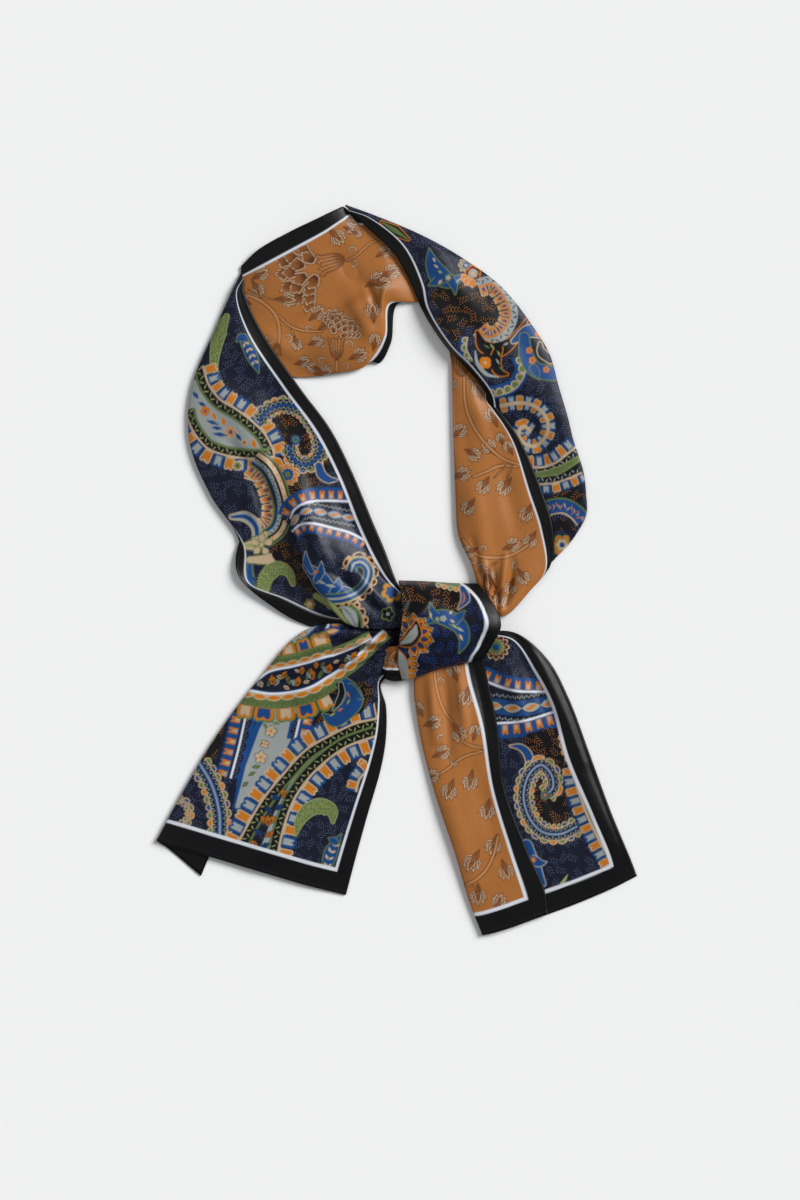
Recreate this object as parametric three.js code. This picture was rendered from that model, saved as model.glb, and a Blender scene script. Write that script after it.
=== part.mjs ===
// A silk cravat: one long double-faced ribbon, folded lengthwise, laid flat in a loop and knotted.
// Millimetres, +Z up. The cravat lies on the plane z = 0, with the neck loop towards +Y and the two
// tails towards -Y. Each stretch of ribbon that shows is its own wall, lofted through cross
// sections; a section runs across the ribbon, from one long edge to the other or to where it is
// folded under, and each of its points is [x, y, height of the middle of the wall].
import * as THREE from "three";

const CLOTH_THICK = 1.2; // the two faces of silk, the turned seam and the air between them
const PER_SECTION = 2; // rows of facets from one section to the next
const PER_POINT = 2; // columns of facets from one point of a section to the next
const NAVY = 0x1c2340;
const OCHRE = 0xb4783c;
const SILK = { roughness: 0.42, metalness: 0 };

// The knot's hidden turns, as one rounded block under the band.
const CORE = { left: 6, right: 55.2, back: -15, front: -50, height: 15.5, rounding: 4 };

// Where the left tail leaves the knot its width is bunched into ridges that spread and die out.
const TAIL_GATHERS = [
  { from: [0.05, 0.18], to: [0.5, 0.2], width: 0.05, height: 2.2 },
  { from: [0.05, 0.4], to: [0.62, 0.38], width: 0.05, height: 2.4 },
  { from: [0.05, 0.6], to: [0.45, 0.62], width: 0.045, height: 1.8 },
  { from: [0.05, 0.29], to: [0.55, 0.29], width: 0.045, height: -1.8 },
  { from: [0.05, 0.5], to: [0.5, 0.5], width: 0.045, height: -1.6 },
];

// How a crease's height runs along it: these shares of half a wave, at its start and its end.
const CREASE_START = 0.12;
const CREASE_END = 0.88;

const half = CLOTH_THICK / 2;

// ---------------------------------------------------------------------------------- lofting

// The smooth curve through a list of points.
const curveThrough = (points) => new THREE.CatmullRomCurve3(points, false, "centripetal");

// The grid of mid-wall points of a stretch: rows run across the ribbon, columns along it.
function midSurface(sections, perPoint) {
  const rails = sections[0].map((_, i) =>
    curveThrough(sections.map((section) => new THREE.Vector3(...section[i]))),
  );
  const rows = (sections.length - 1) * PER_SECTION;
  const columns = (rails.length - 1) * perPoint;
  const grid = [];
  for (let r = 0; r <= rows; r++) {
    const across = curveThrough(rails.map((rail) => rail.getPoint(r / rows)));
    const row = [];
    for (let c = 0; c <= columns; c++) row.push(across.getPoint(c / columns));
    grid.push(row);
  }
  return grid;
}

// A soft ridge or trough laid over part of a grid: from and to are places on it, each
// [share of the length, share of the width], and the crease fades out towards both ends.
function addCrease(grid, { from, to, width, height }) {
  const start = new THREE.Vector2(...from);
  const line = new THREE.Vector2(...to).sub(start);
  grid.forEach((row, r) =>
    row.forEach((point, c) => {
      const here = new THREE.Vector2(r / (grid.length - 1), c / (row.length - 1)).sub(start);
      const along = THREE.MathUtils.clamp(here.dot(line) / line.lengthSq(), 0, 1);
      const away = here.sub(line.clone().multiplyScalar(along)).length() / width;
      const fade = Math.sin(Math.PI * THREE.MathUtils.lerp(CREASE_START, CREASE_END, along));
      point.z = Math.max(half, point.z + height * fade * Math.exp(-away * away));
    }),
  );
}

// The unit normals of a grid, from its neighbours along and across.
function normalsOf(grid) {
  const last = grid.length - 1;
  return grid.map((row, r) =>
    row.map((_, c) => {
      const ahead = grid[Math.min(r + 1, last)][c];
      const behind = grid[Math.max(r - 1, 0)][c];
      const next = row[Math.min(c + 1, row.length - 1)];
      const before = row[Math.max(c - 1, 0)];
      const along = ahead.clone().sub(behind);
      return next.clone().sub(before).cross(along).normalize();
    }),
  );
}

// A closed wall of even thickness around a grid, its first face on the side of the grid's normals.
function wallGeometry(grid) {
  const normals = normalsOf(grid);
  const rows = grid.length;
  const columns = grid[0].length;
  const positions = [];
  for (const shift of [half, -half])
    grid.forEach((row, r) =>
      row.forEach((point, c) => {
        const p = point.clone().addScaledVector(normals[r][c], shift);
        positions.push(p.x, p.y, Math.max(0, p.z));
      }),
    );
  const count = rows * columns;
  const top = (r, c) => r * columns + c;
  const bottom = (r, c) => count + top(r, c);
  const index = [];
  const quad = (a, b, c, d) => index.push(a, b, c, a, c, d);
  for (let r = 0; r < rows - 1; r++)
    for (let c = 0; c < columns - 1; c++) {
      quad(top(r, c), top(r, c + 1), top(r + 1, c + 1), top(r + 1, c));
      quad(bottom(r, c), bottom(r + 1, c), bottom(r + 1, c + 1), bottom(r, c + 1));
    }
  for (let c = 0; c < columns - 1; c++) {
    quad(top(0, c), bottom(0, c), bottom(0, c + 1), top(0, c + 1));
    quad(top(rows - 1, c), top(rows - 1, c + 1), bottom(rows - 1, c + 1), bottom(rows - 1, c));
  }
  for (let r = 0; r < rows - 1; r++) {
    quad(top(r, 0), top(r + 1, 0), bottom(r + 1, 0), bottom(r, 0));
    const c = columns - 1;
    quad(top(r, c), bottom(r, c), bottom(r + 1, c), top(r + 1, c));
  }
  const geometry = new THREE.BufferGeometry();
  geometry.setAttribute("position", new THREE.Float32BufferAttribute(positions, 3));
  geometry.setIndex(index);
  geometry.computeVertexNormals();
  return geometry;
}

function stretch(name, colour, sections, creases = [], perPoint = PER_POINT) {
  const grid = midSurface(sections, perPoint);
  creases.forEach((crease) => addCrease(grid, crease));
  const mesh = new THREE.Mesh(
    wallGeometry(grid),
    new THREE.MeshStandardMaterial({ color: colour, ...SILK }),
  );
  mesh.name = name;
  return mesh;
}

// ------------------------------------------------------------------------- stretches of ribbon

// The left side of the loop: navy up, folded under along its outer side, with a pleat that opens
// towards the knot and the lower long edge curling out below it.
const leftSide = stretch(
  "left_side",
  NAVY,
  [
    [
      [-104.1, 193.9, 3.2], [-104.7, 195.9, 3.8], [-105.1, 197.5, 4], [-105.4, 198.7, 4],
      [-105.6, 199.6, 3.8], [-105.8, 200.4, 3.5], [-105.9, 201, 3.1], [-106, 201.5, 2.6],
      [-106.2, 201.9, 2], [-106.3, 202.4, 1.3],
    ],
    [
      [-101.1, 183.9, 3.4], [-106.8, 184.3, 4.4], [-108, 184.6, 4.5], [-108.6, 184.7, 4.3],
      [-109, 184.8, 4], [-109.2, 184.9, 3.6], [-109.4, 185, 3.1], [-109.6, 185.1, 2.5],
      [-109.4, 185, 1.6], [-109, 184.7, 0.9],
    ],
    [
      [-89.8, 158.6, 3.2], [-99.8, 159.2, 4.2], [-107.1, 159.9, 4.8], [-111.8, 160.6, 4.8],
      [-114.1, 160.7, 4.6], [-116.4, 160.9, 4.2], [-118.8, 161.2, 3.4], [-120.1, 161.2, 2.2],
      [-118.4, 160.9, 0.9], [-105.8, 159.6, 0.6],
    ],
    [
      [-64.4, 121.2, 3.2], [-75.1, 121.2, 4.2], [-97.8, 121.2, 5.2], [-112.4, 121.2, 5.4],
      [-119.1, 121.2, 5.2], [-125.8, 121.2, 4.8], [-133.1, 121.6, 3.8], [-136.1, 121.9, 2.3],
      [-134.1, 121.6, 0.8], [-89.8, 121.2, 0.6],
    ],
    [
      [-43.8, 93.2, 3], [-53.8, 91.9, 4.2], [-81.1, 89.2, 6], [-99.8, 87.2, 6], [-108.4, 86.6, 5.6],
      [-119.8, 85.9, 4.8], [-133.1, 85.9, 3.6], [-137.8, 85.9, 2.3], [-135.4, 85.9, 0.8],
      [-74.4, 88.6, 0.6],
    ],
    [
      [-29.1, 63.9, 3], [-38.4, 61.9, 4.4], [-59.1, 55.9, 7.5], [-73.1, 51.2, 8], [-77.8, 49.9, 6.5],
      [-89.8, 49.2, 4.6], [-114.4, 47.2, 3.6], [-123.8, 49.9, 2.3], [-120.8, 48.6, 0.8],
      [-85.8, 46.6, 0.6],
    ],
    [
      [-16.4, 33.2, 3], [-25.8, 30.6, 4.6], [-47.8, 25.9, 9], [-66.4, 21.2, 9.5], [-66.4, 20.6, 6.2],
      [-72.4, 19.2, 3.4], [-91.1, 15.9, 2.6], [-101.8, 16.6, 2.6], [-103.8, 17.2, 2.2],
      [-105.1, 17.9, 1.5],
    ],
    [
      [-7.1, 11.2, 3.2], [-15.1, 7.9, 5], [-36.4, 1.2, 10], [-59.1, -0.8, 10.5], [-55.8, -2.1, 6.4],
      [-62.4, -4.1, 2.4], [-83.1, -6.8, 1.2], [-99.1, -8.1, 3.2], [-103.1, -5.4, 4],
      [-105.8, -2.8, 4.2],
    ],
    [
      [-1.8, -3.4, 3.6], [-5.8, -6.8, 5.6], [-23.1, -15.4, 10.5], [-49.1, -16.1, 10.5],
      [-44.4, -18.1, 6.4], [-52.4, -18.8, 2.4], [-64.4, -20.1, 1.4], [-75.1, -18.8, 2.4],
      [-80.4, -21.4, 2.9], [-83.8, -23.8, 2.4],
    ],
    [
      [1.6, -11.4, 3.4], [1.6, -14.8, 5.6], [-8.4, -25.4, 10.6], [-31.8, -36.1, 9.4],
      [-28.4, -34.8, 6], [-33.8, -32.1, 2.2], [-37.8, -30.8, 1.2], [-44.4, -31.4, 1],
      [-51.8, -35.1, 0.8], [-56.4, -37.8, 0.7],
    ],
    [
      [4.2, -14.8, 4.6], [4.2, -18.1, 7], [4.2, -26.8, 11], [3.6, -38.8, 9.4], [2.9, -36.8, 6.6],
      [-0.4, -33.4, 3.8], [-4.4, -32.1, 2.4], [-11.1, -32.8, 1.2], [-17.8, -34.4, 0.8],
      [-23.1, -36.1, 0.6],
    ],
  ],
);

// The back of the neck: ochre up, its upper edge a little raised, a hollow along the middle and
// a soft roll along the lower side.
const collar = stretch(
  "collar",
  OCHRE,
  [
    [
      [-103.4, 202.6, 1], [-103.8, 195.2, 0.8], [-102.4, 181.2, 0.7], [-98.4, 166.6, 0.6],
      [-92.4, 152.6, 0.6], [-86.4, 141.2, 0.6], [-77.8, 129.2, 0.8], [-73.1, 132.6, 0.6],
      [-70.4, 135.9, 0.6],
    ],
    [
      [-92.4, 212.9, 4], [-89.8, 201.9, 4.6], [-85.8, 185.2, 2.6], [-79.8, 167.9, 1.2],
      [-73.1, 151.2, 0.9], [-67.1, 139.2, 1.1], [-60.4, 128.6, 1.1], [-61.1, 132.6, 0.6],
      [-62.4, 138.6, 0.6],
    ],
    [
      [-71.1, 224.9, 5.4], [-67.8, 213.6, 5.6], [-63.1, 196.6, 2.8], [-57.1, 178.6, 1.4],
      [-50.4, 159.9, 3.6], [-45.1, 143.9, 7], [-41.8, 130.9, 3], [-42.8, 135.2, 0.9],
      [-48.1, 154.6, 0.6],
    ],
    [
      [-51.8, 234.2, 5.6], [-47.8, 224.6, 5.6], [-43.8, 207.9, 2.8], [-38.4, 190.6, 1.4],
      [-31.8, 170.6, 4.2], [-25.8, 150.6, 8.6], [-22.4, 135.2, 3.4], [-23.8, 139.2, 0.9],
      [-29.1, 165.2, 0.6],
    ],
    [
      [-45.1, 237.6, 4.6], [-41.1, 229.2, 4.8], [-35.8, 213.2, 2.6], [-29.8, 196.6, 1.4],
      [-23.1, 175.9, 5.2], [-18.8, 157.9, 9.4], [-15.1, 143.2, 4.6], [-13.4, 139.2, 2.4],
      [-12.4, 137.6, 1],
    ],
    [
      [-39.8, 240.2, 3], [-35.4, 233.2, 3.2], [-29.1, 219.2, 2.4], [-21.8, 203.9, 1.4],
      [-15.1, 183.9, 6.2], [-11.8, 167.9, 9.6], [-8.4, 155.9, 6.4], [-5.8, 153.2, 3.6],
      [-4.1, 150.6, 1.4],
    ],
    [
      [-35.4, 241.9, 1], [-31.1, 235.9, 1], [-21.8, 224.6, 1], [-11.8, 211.9, 1.1], [-6.4, 197.2, 4.4],
      [-7.1, 185.2, 8.4], [-5.8, 177.2, 5.6], [-2.4, 176.6, 3.4], [-0.4, 175.9, 1.4],
    ],
    [
      [-31.1, 238.2, 1], [-24.4, 230.2, 0.8], [-13.8, 219.2, 0.7], [-3.1, 209.2, 0.7], [4.9, 198.6, 1],
      [9.6, 188.6, 1.6], [12.9, 178.6, 1.8], [12.9, 180.2, 0.8], [10.9, 182.6, 0.6],
    ],
    [
      [-29.1, 237.9, 0.8], [-19.8, 231.9, 0.7], [-5.1, 223.2, 0.6], [6.9, 213.9, 0.6],
      [16.2, 202.6, 0.6], [22.2, 191.9, 0.6], [26.9, 181.9, 0.8], [24.9, 178.6, 0.6],
      [22.9, 175.9, 0.6],
    ],
  ],
);

// The right side of the loop, outer layer: navy up. Its inner edge stands on the ochre layer at
// the top and passes under it halfway down.
const rightSideNavy = stretch(
  "right_side_navy",
  NAVY,
  [
    [
      [-30.4, 237.6, 3.4], [-31.4, 239.2, 4], [-32.2, 240.3, 4], [-32.8, 241.1, 3.8],
      [-33.4, 241.8, 3.4], [-33.8, 242.3, 2.8], [-34, 242.7, 2], [-34.2, 243, 1.3],
    ],
    [
      [-20.4, 228.6, 3.4], [-17.8, 234.2, 4.4], [-17.1, 235, 4.4], [-16.6, 235.5, 4.1],
      [-16.2, 235.9, 3.6], [-16, 236.1, 2.9], [-15.8, 235.8, 1.9], [-16, 235.4, 1],
    ],
    [
      [-1.8, 210.6, 3.4], [4.9, 215.9, 4.6], [8.9, 218.6, 5.2], [12.2, 220.6, 5], [14.9, 221.9, 4],
      [16.6, 222.6, 2.3], [15.8, 222, 0.8], [12.2, 218.9, 0.6],
    ],
    [
      [9.6, 190.6, 3.8], [17.2, 190.6, 5.6], [27.6, 197.2, 6.4], [36.2, 202.6, 6], [42.2, 205.9, 4.8],
      [45.6, 206.2, 2.4], [44.2, 204.9, 0.8], [33.6, 196.6, 0.6],
    ],
    [
      [17.2, 172.6, 3.6], [20.9, 173.9, 7.6], [40.2, 180.6, 7], [54.9, 185.2, 6.2], [64.9, 188.6, 4.8],
      [69.6, 188.2, 2.4], [67.9, 186.9, 0.8], [48.9, 178.6, 0.6],
    ],
    [
      [32.9, 148.6, 3.6], [35.6, 149.9, 8.8], [54.2, 156.6, 7.4], [72.2, 160.6, 6.2],
      [84.2, 163.2, 4.8], [89.6, 163.2, 2.4], [87.9, 161.9, 0.8], [66.9, 153.2, 0.6],
    ],
    [
      [48.2, 132.6, 3.6], [50.9, 134.2, 8.4], [67.6, 139.2, 7.6], [83.6, 142.6, 6.4],
      [96.2, 144.6, 4.6], [101.6, 143.2, 2.4], [99.6, 142.6, 0.8], [74.2, 135.2, 0.6],
    ],
    [
      [60.6, 115.2, 3.5], [63.6, 117.2, 7], [76.2, 119.2, 6.8], [90.9, 121.9, 5.6],
      [102.9, 122.6, 4.3], [107.6, 121.9, 2.4], [105.6, 121.2, 0.8], [72.2, 115.2, 0.6],
    ],
    [
      [67.2, 105.2, 2.4], [70.2, 107.2, 3.7], [81.6, 109.2, 5.2], [94.9, 111.2, 5.2],
      [106.2, 112.6, 4.2], [110.6, 111.9, 2.4], [108.6, 111.2, 0.8], [84.9, 107.9, 0.6],
    ],
    [
      [69.2, 95.2, 0.7], [75.6, 97.2, 1.3], [86.2, 99.2, 3.4], [99.6, 101.2, 4.6], [109.6, 102.6, 4],
      [113.6, 101.9, 2.4], [111.6, 101.2, 0.8], [97.6, 99.2, 0.6],
    ],
    [
      [73.6, 81.2, 0.7], [80.2, 83.2, 0.9], [92.2, 85.2, 2.4], [104.2, 86.6, 3.6], [113.6, 87.9, 3.4],
      [117.2, 87.2, 2.3], [115.2, 86.6, 0.8], [106.2, 84.9, 0.6],
    ],
    [
      [80.9, 56.6, 0.7], [89.6, 57.9, 0.8], [102.2, 59.9, 1.8], [112.9, 61.2, 3], [121.6, 63.2, 3],
      [124.6, 62.6, 2.1], [122.9, 61.2, 0.8], [115.6, 59.9, 0.6],
    ],
    [
      [87.6, 33.2, 0.6], [96.9, 33.9, 0.8], [106.9, 35.2, 1.4], [115.6, 36.6, 2.2], [121.6, 37.9, 2.6],
      [124.9, 39.9, 2.2], [126, 40.4, 1.8], [126.9, 41.2, 1.2],
    ],
    [
      [88.9, 14.6, 0.6], [95.6, 15.9, 0.7], [102.2, 17.2, 1], [108.2, 19.2, 1.4], [112.9, 20.6, 1.8],
      [115.6, 21.2, 1.6], [117.2, 21.8, 1.3], [118.9, 22.6, 0.8],
    ],
    [
      [83.6, -0.1, 0.6], [88.9, 0.6, 0.6], [92.9, 1.9, 0.6], [96.9, 3.2, 0.7], [99.6, 3.9, 0.8],
      [101.6, 4.6, 0.8], [102.9, 5.2, 0.7], [104.2, 5.9, 0.6],
    ],
  ],
);

// The right side of the loop, inner layer: ochre up, folded under along its inner side.
const rightSideOchre = stretch(
  "right_side_ochre",
  OCHRE,
  [
    [
      [48.9, 167.9, 0.6], [46.2, 167.2, 0.6], [40.9, 165.9, 0.6], [35.6, 164.6, 0.6],
      [31.6, 163.2, 0.6], [28.9, 162.6, 0.6], [28.9, 161.9, 0.6], [29.6, 161.2, 0.6],
    ],
    [
      [61.6, 150.6, 0.6], [57.6, 149.9, 0.6], [50.2, 148.6, 0.7], [43.6, 146.6, 1], [38.2, 145.2, 1.8],
      [35.6, 144.6, 1.6], [36.6, 143.9, 0.8], [38.2, 143.9, 0.6],
    ],
    [
      [68.9, 134.6, 0.7], [64.9, 133.9, 0.7], [56.9, 132.6, 1], [48.9, 131.2, 1.5], [40.9, 130.6, 3.4],
      [37.2, 130.6, 2.3], [38.9, 129.9, 0.8], [41.6, 129.9, 0.6],
    ],
    [
      [61.6, 115.9, 1.2], [58.9, 115.2, 1.5], [54.9, 114.6, 2.4], [48.9, 113.2, 4], [41.6, 112.6, 4],
      [37.7, 112.6, 2.4], [39.6, 111.9, 0.8], [46.2, 111.9, 0.6],
    ],
    [
      [64.9, 105.5, 2.4], [62.5, 104.9, 3.2], [57.6, 103.9, 4.2], [50.2, 102.6, 4.8],
      [41.6, 101.9, 4.2], [38, 101.9, 2.4], [39.9, 101.2, 0.8], [56.2, 101.9, 0.6],
    ],
    [
      [72.2, 97.9, 4.3], [69.2, 96.9, 4.6], [62.2, 95.2, 4.6], [52.2, 93.2, 5], [42.2, 92.6, 4.4],
      [38.2, 92.6, 2.5], [40.2, 91.9, 0.8], [62.9, 93.2, 0.6],
    ],
    [
      [82.9, 85.2, 3.2], [77.6, 83.9, 3.9], [68.2, 81.9, 4.5], [55.6, 79.9, 5.2], [42.9, 79.2, 4.5],
      [38.6, 79.2, 2.5], [40.6, 78.6, 0.8], [67.6, 79.2, 0.6],
    ],
    [
      [96.2, 53.9, 3], [87.6, 51.9, 3.8], [74.2, 48.6, 4.6], [58.9, 46.6, 5.4], [44.2, 46.6, 4.6],
      [39.6, 47.2, 2.5], [41.9, 46.9, 0.8], [74.9, 50.6, 0.6],
    ],
    [
      [104.2, 27.2, 3.2], [95.9, 25.9, 3.8], [82.2, 23.2, 4.4], [62.9, 21.2, 5], [46.9, 21.2, 4.8],
      [41.6, 22.6, 2.6], [43.9, 21.6, 0.8], [80.9, 26.6, 0.6],
    ],
    [
      [102.9, 4.6, 2.6], [98.9, -0.1, 3.4], [86.2, -2.8, 6], [70.9, -2.1, 4.4], [56.9, -1.4, 6.6],
      [50.9, 1.9, 3.6], [54.2, 1.6, 1.1], [76.2, 0.6, 0.6],
    ],
    [
      [90.2, -9.4, 2.2], [88.9, -13.4, 3.4], [80.9, -15.4, 7.4], [69.6, -14.8, 4.6],
      [60.9, -14.8, 7.8], [54.9, -13.1, 4], [57.9, -13.4, 1.6], [71.6, -13.4, 1],
    ],
    [
      [74.2, -28.8, 3.6], [72.2, -30.1, 5], [70.2, -27.4, 8.4], [66.9, -25.4, 7.4], [63.6, -24.8, 8.6],
      [60.2, -23.1, 5.6], [60.9, -24.8, 3.4], [64.9, -26.1, 2.6],
    ],
    [
      [57.6, -32.1, 5], [57.6, -31.4, 6.4], [57.6, -28.8, 8.6], [57.6, -26.8, 8], [57.6, -25.1, 8.6],
      [57.6, -23.8, 6.8], [57.6, -25.4, 4.9], [57.6, -27.1, 4.2],
    ],
  ],
);

// The turn of ribbon around the knot.
const knotBand = stretch(
  "knot_band",
  NAVY,
  [
    [
      [1.2, -7.4, 3], [1.9, -10.8, 9.5], [3.2, -20.1, 16], [3.6, -33.4, 18.4], [1.6, -48.1, 15.6],
      [-3.8, -62.8, 9], [-9.1, -71.4, 4.8],
    ],
    [
      [16.9, -7.8, 2.2], [17.6, -11.4, 10.4], [18.6, -20.8, 17.4], [18.9, -36.1, 20.4],
      [16.9, -53.4, 17.8], [10.9, -66.1, 11.4], [6.2, -72.1, 7.4],
    ],
    [
      [36.9, -9.1, 2.6], [37.9, -12.8, 10.8], [39.6, -22.1, 17.8], [40.9, -36.8, 20.8],
      [38.2, -51.4, 18], [32.9, -60.1, 12.6], [28.9, -65.4, 8.8],
    ],
    [
      [51.6, -9.4, 5.8], [54.2, -13.4, 10.4], [57.6, -22.1, 15.8], [60.9, -36.1, 18.8],
      [56.9, -49.4, 16.6], [50.2, -57.4, 12], [47.6, -61.4, 8.8],
    ],
    [
      [53.6, -9.4, 6.2], [58.2, -14.8, 9.8], [64.9, -24.1, 13.6], [69.2, -36.8, 16],
      [64.9, -47.4, 14.2], [60.2, -55.4, 11], [58.9, -58.4, 8.8],
    ],
  ],
);

// The left tail: navy up, gathered where it leaves the knot and folded under along its outer side.
const leftTail = stretch(
  "left_tail",
  NAVY,
  [
    [
      [2.2, -65.4, 3.4], [2.9, -60.8, 5.6], [3.6, -56.8, 6.8], [3.9, -52.8, 7], [3.6, -48.8, 6.6],
      [2.9, -45.1, 4.8], [2.9, -48.1, 3.6], [2.2, -51.4, 2.9],
    ],
    [
      [-10.4, -76.1, 2], [-13.1, -66.8, 5.4], [-15.1, -60.1, 7.6], [-16.4, -55.4, 8.4],
      [-17.8, -50.8, 8], [-19.1, -46.4, 5.4], [-18.8, -49.1, 3.4], [-18.1, -53.4, 2.8],
    ],
    [
      [-7.1, -90.8, 0.9], [-20.4, -82.1, 4.4], [-29.8, -68.1, 6.6], [-35.1, -55.4, 7.4],
      [-38.4, -45.4, 6.8], [-40.4, -37.4, 4.6], [-39.1, -40.8, 3.2], [-36.8, -47.4, 2.6],
    ],
    [
      [-7.1, -112.1, 0.8], [-24.4, -98.1, 3.2], [-41.1, -80.1, 4.6], [-52.4, -61.4, 5.4],
      [-58.4, -48.8, 5.2], [-62.4, -41.4, 3.4], [-59.8, -44.1, 1.4], [-52.4, -54.8, 0.9],
    ],
    [
      [-10.4, -132.1, 0.8], [-31.1, -116.8, 2.8], [-53.1, -98.8, 3.6], [-73.1, -84.8, 4.2],
      [-85.8, -76.1, 4.2], [-91.8, -73.4, 2.6], [-88.8, -75.8, 0.8], [-75.1, -85.4, 0.6],
    ],
    [
      [-19.8, -164.8, 0.8], [-44.4, -152.8, 2.6], [-71.1, -139.4, 3.2], [-97.8, -126.1, 3.6],
      [-114.4, -117.4, 3.6], [-121.8, -114.1, 2.4], [-117.8, -116.4, 0.7], [-97.8, -126.8, 0.6],
    ],
    [
      [-28.4, -196.1, 0.8], [-56.4, -186.8, 2.4], [-85.8, -176.8, 2.8], [-116.4, -165.4, 3.2],
      [-137.8, -157.4, 3.4], [-145.8, -154.8, 2.3], [-140.4, -157.8, 0.7], [-116.4, -170.8, 0.6],
    ],
    [
      [-33.8, -216.8, 0.8], [-63.1, -209.4, 2.2], [-94.4, -200.1, 2.6], [-127.8, -190.1, 3],
      [-152.4, -182.4, 3.2], [-159.8, -180.8, 2.2], [-154.1, -184.4, 0.7], [-130.4, -204.1, 0.6],
    ],
  ],
  TAIL_GATHERS,
  3,
);

// The right tail, upper layer: ochre up, folded under along its inner side.
const rightTailOchre = stretch(
  "right_tail_ochre",
  OCHRE,
  [
    [
      [56.9, -53.4, 4.9], [44.9, -54.1, 5.6], [32.9, -54.8, 5.8], [22.2, -57.4, 5.4],
      [16.2, -60.1, 4.2], [18.9, -60.1, 2.6], [24.9, -60.1, 2.2],
    ],
    [
      [60.2, -70.8, 3.8], [48.2, -73.4, 4.6], [32.9, -74.8, 5.6], [18.2, -74.8, 5.2],
      [11.9, -74.8, 3.4], [14.6, -76.1, 1.4], [29.6, -77.4, 0.9],
    ],
    [
      [66.9, -102.8, 3], [56.9, -104.8, 3.6], [39.6, -106.8, 4.6], [20.9, -106.8, 4],
      [15.2, -106.1, 2.4], [18.2, -107.1, 0.8], [35.6, -106.8, 0.6],
    ],
    [
      [71.6, -144.1, 2.8], [63.6, -145.4, 3.4], [46.2, -148.1, 4], [30.9, -148.1, 3.8],
      [25.2, -146.8, 2.3], [28.2, -148.1, 0.8], [37.6, -148.8, 0.6],
    ],
    [
      [86.9, -186.8, 2.8], [76.2, -188.1, 3.4], [60.2, -191.4, 3.8], [44.9, -191.4, 3.6],
      [39.6, -190.1, 2.3], [42.6, -191.8, 0.8], [51.6, -192.1, 0.6],
    ],
    [
      [98.2, -212.1, 2.8], [85.6, -216.8, 3.2], [70.2, -221.4, 3.6], [54.9, -222.1, 3.4],
      [48.9, -221.4, 2.3], [51.9, -222.8, 0.8], [60.2, -223.1, 0.6],
    ],
    [
      [100.9, -229.4, 2.8], [89.6, -233.4, 3], [76.9, -238.1, 3.2], [63.6, -242.1, 3.2],
      [57.6, -243.4, 2.2], [60.2, -243.1, 0.8], [68.9, -240.4, 0.6],
    ],
  ],
);

// The right tail, lower layer: navy up, flat on the surface.
const rightTailNavy = stretch(
  "right_tail_navy",
  NAVY,
  [
    [[58.2, -50.8, 2.8], [58.9, -48.1, 3.6], [59.6, -45.4, 4.4], [60.2, -42.8, 4.8], [60.2, -40.1, 4]],
    [[54.2, -76.1, 1], [64.9, -65.4, 1.6], [72.9, -54.8, 3.4], [77.6, -46.8, 4.4], [80.2, -42.4, 3.4]],
    [[46.2, -98.8, 0.6], [63.6, -90.8, 0.8], [79.6, -80.1, 2.4], [92.2, -67.4, 3], [100.9, -60.1, 1.2]],
    [
      [36.9, -118.8, 0.6], [62.2, -109.4, 0.6], [84.9, -100.1, 1.6], [104.2, -90.8, 1.8],
      [114.9, -86.1, 0.8],
    ],
    [
      [44.9, -152.8, 0.6], [68.9, -144.1, 0.6], [92.2, -135.4, 1.4], [113.6, -125.4, 1.6],
      [128.9, -123.4, 0.8],
    ],
    [
      [58.2, -193.4, 0.6], [82.2, -184.8, 0.6], [106.9, -175.4, 1.4], [130.2, -164.1, 1.6],
      [142.9, -161.4, 0.8],
    ],
    [
      [66.9, -224.8, 0.6], [92.9, -215.4, 0.6], [118.9, -205.4, 1.2], [142.9, -196.1, 1.4],
      [156.2, -193.4, 0.8],
    ],
    [
      [74.9, -238.8, 0.6], [97.6, -230.8, 0.6], [120.9, -222.1, 1], [144.2, -212.1, 1.2],
      [160.2, -204.1, 0.8],
    ],
  ],
);

// ------------------------------------------------------------------------------- the knot's core

function knotCore() {
  const { left, right, back, front, height, rounding } = CORE;
  const profile = new THREE.Shape();
  const low = front + rounding;
  const high = back - rounding;
  const top = height - rounding;
  const shoulder = (back - front) / 2 - rounding;
  profile.moveTo(low, rounding);
  profile.lineTo(high, rounding);
  profile.lineTo(high, top - shoulder / 2);
  profile.quadraticCurveTo(high, top, high - shoulder, top);
  profile.quadraticCurveTo(low, top, low, top - shoulder / 2);
  profile.closePath();
  const geometry = new THREE.ExtrudeGeometry(profile, {
    depth: right - left - 2 * rounding,
    bevelSize: rounding,
    bevelThickness: rounding,
    bevelSegments: 3,
    curveSegments: 6,
  });
  // The profile's plane is turned to the plane across the knot, with its thickness along +X.
  geometry.applyMatrix4(
    new THREE.Matrix4().makeBasis(
      new THREE.Vector3(0, 1, 0),
      new THREE.Vector3(0, 0, 1),
      new THREE.Vector3(1, 0, 0),
    ),
  );
  geometry.translate(left + rounding, 0, 0);
  const mesh = new THREE.Mesh(geometry, new THREE.MeshStandardMaterial({ color: NAVY, ...SILK }));
  mesh.name = "knot_core";
  return mesh;
}

// ------------------------------------------------------------------------------------- assembly

const cravat = new THREE.Group();
cravat.add(leftTail, leftSide, collar, rightSideNavy, rightSideOchre);
cravat.add(knotBand, knotCore(), rightTailOchre, rightTailNavy);

export default cravat;
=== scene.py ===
"""A silk cravat: one long double-faced ribbon, navy with a paisley print on one face and ochre
with a flowering vine on the other, folded lengthwise, laid in a loop and knotted."""

import math

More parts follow.
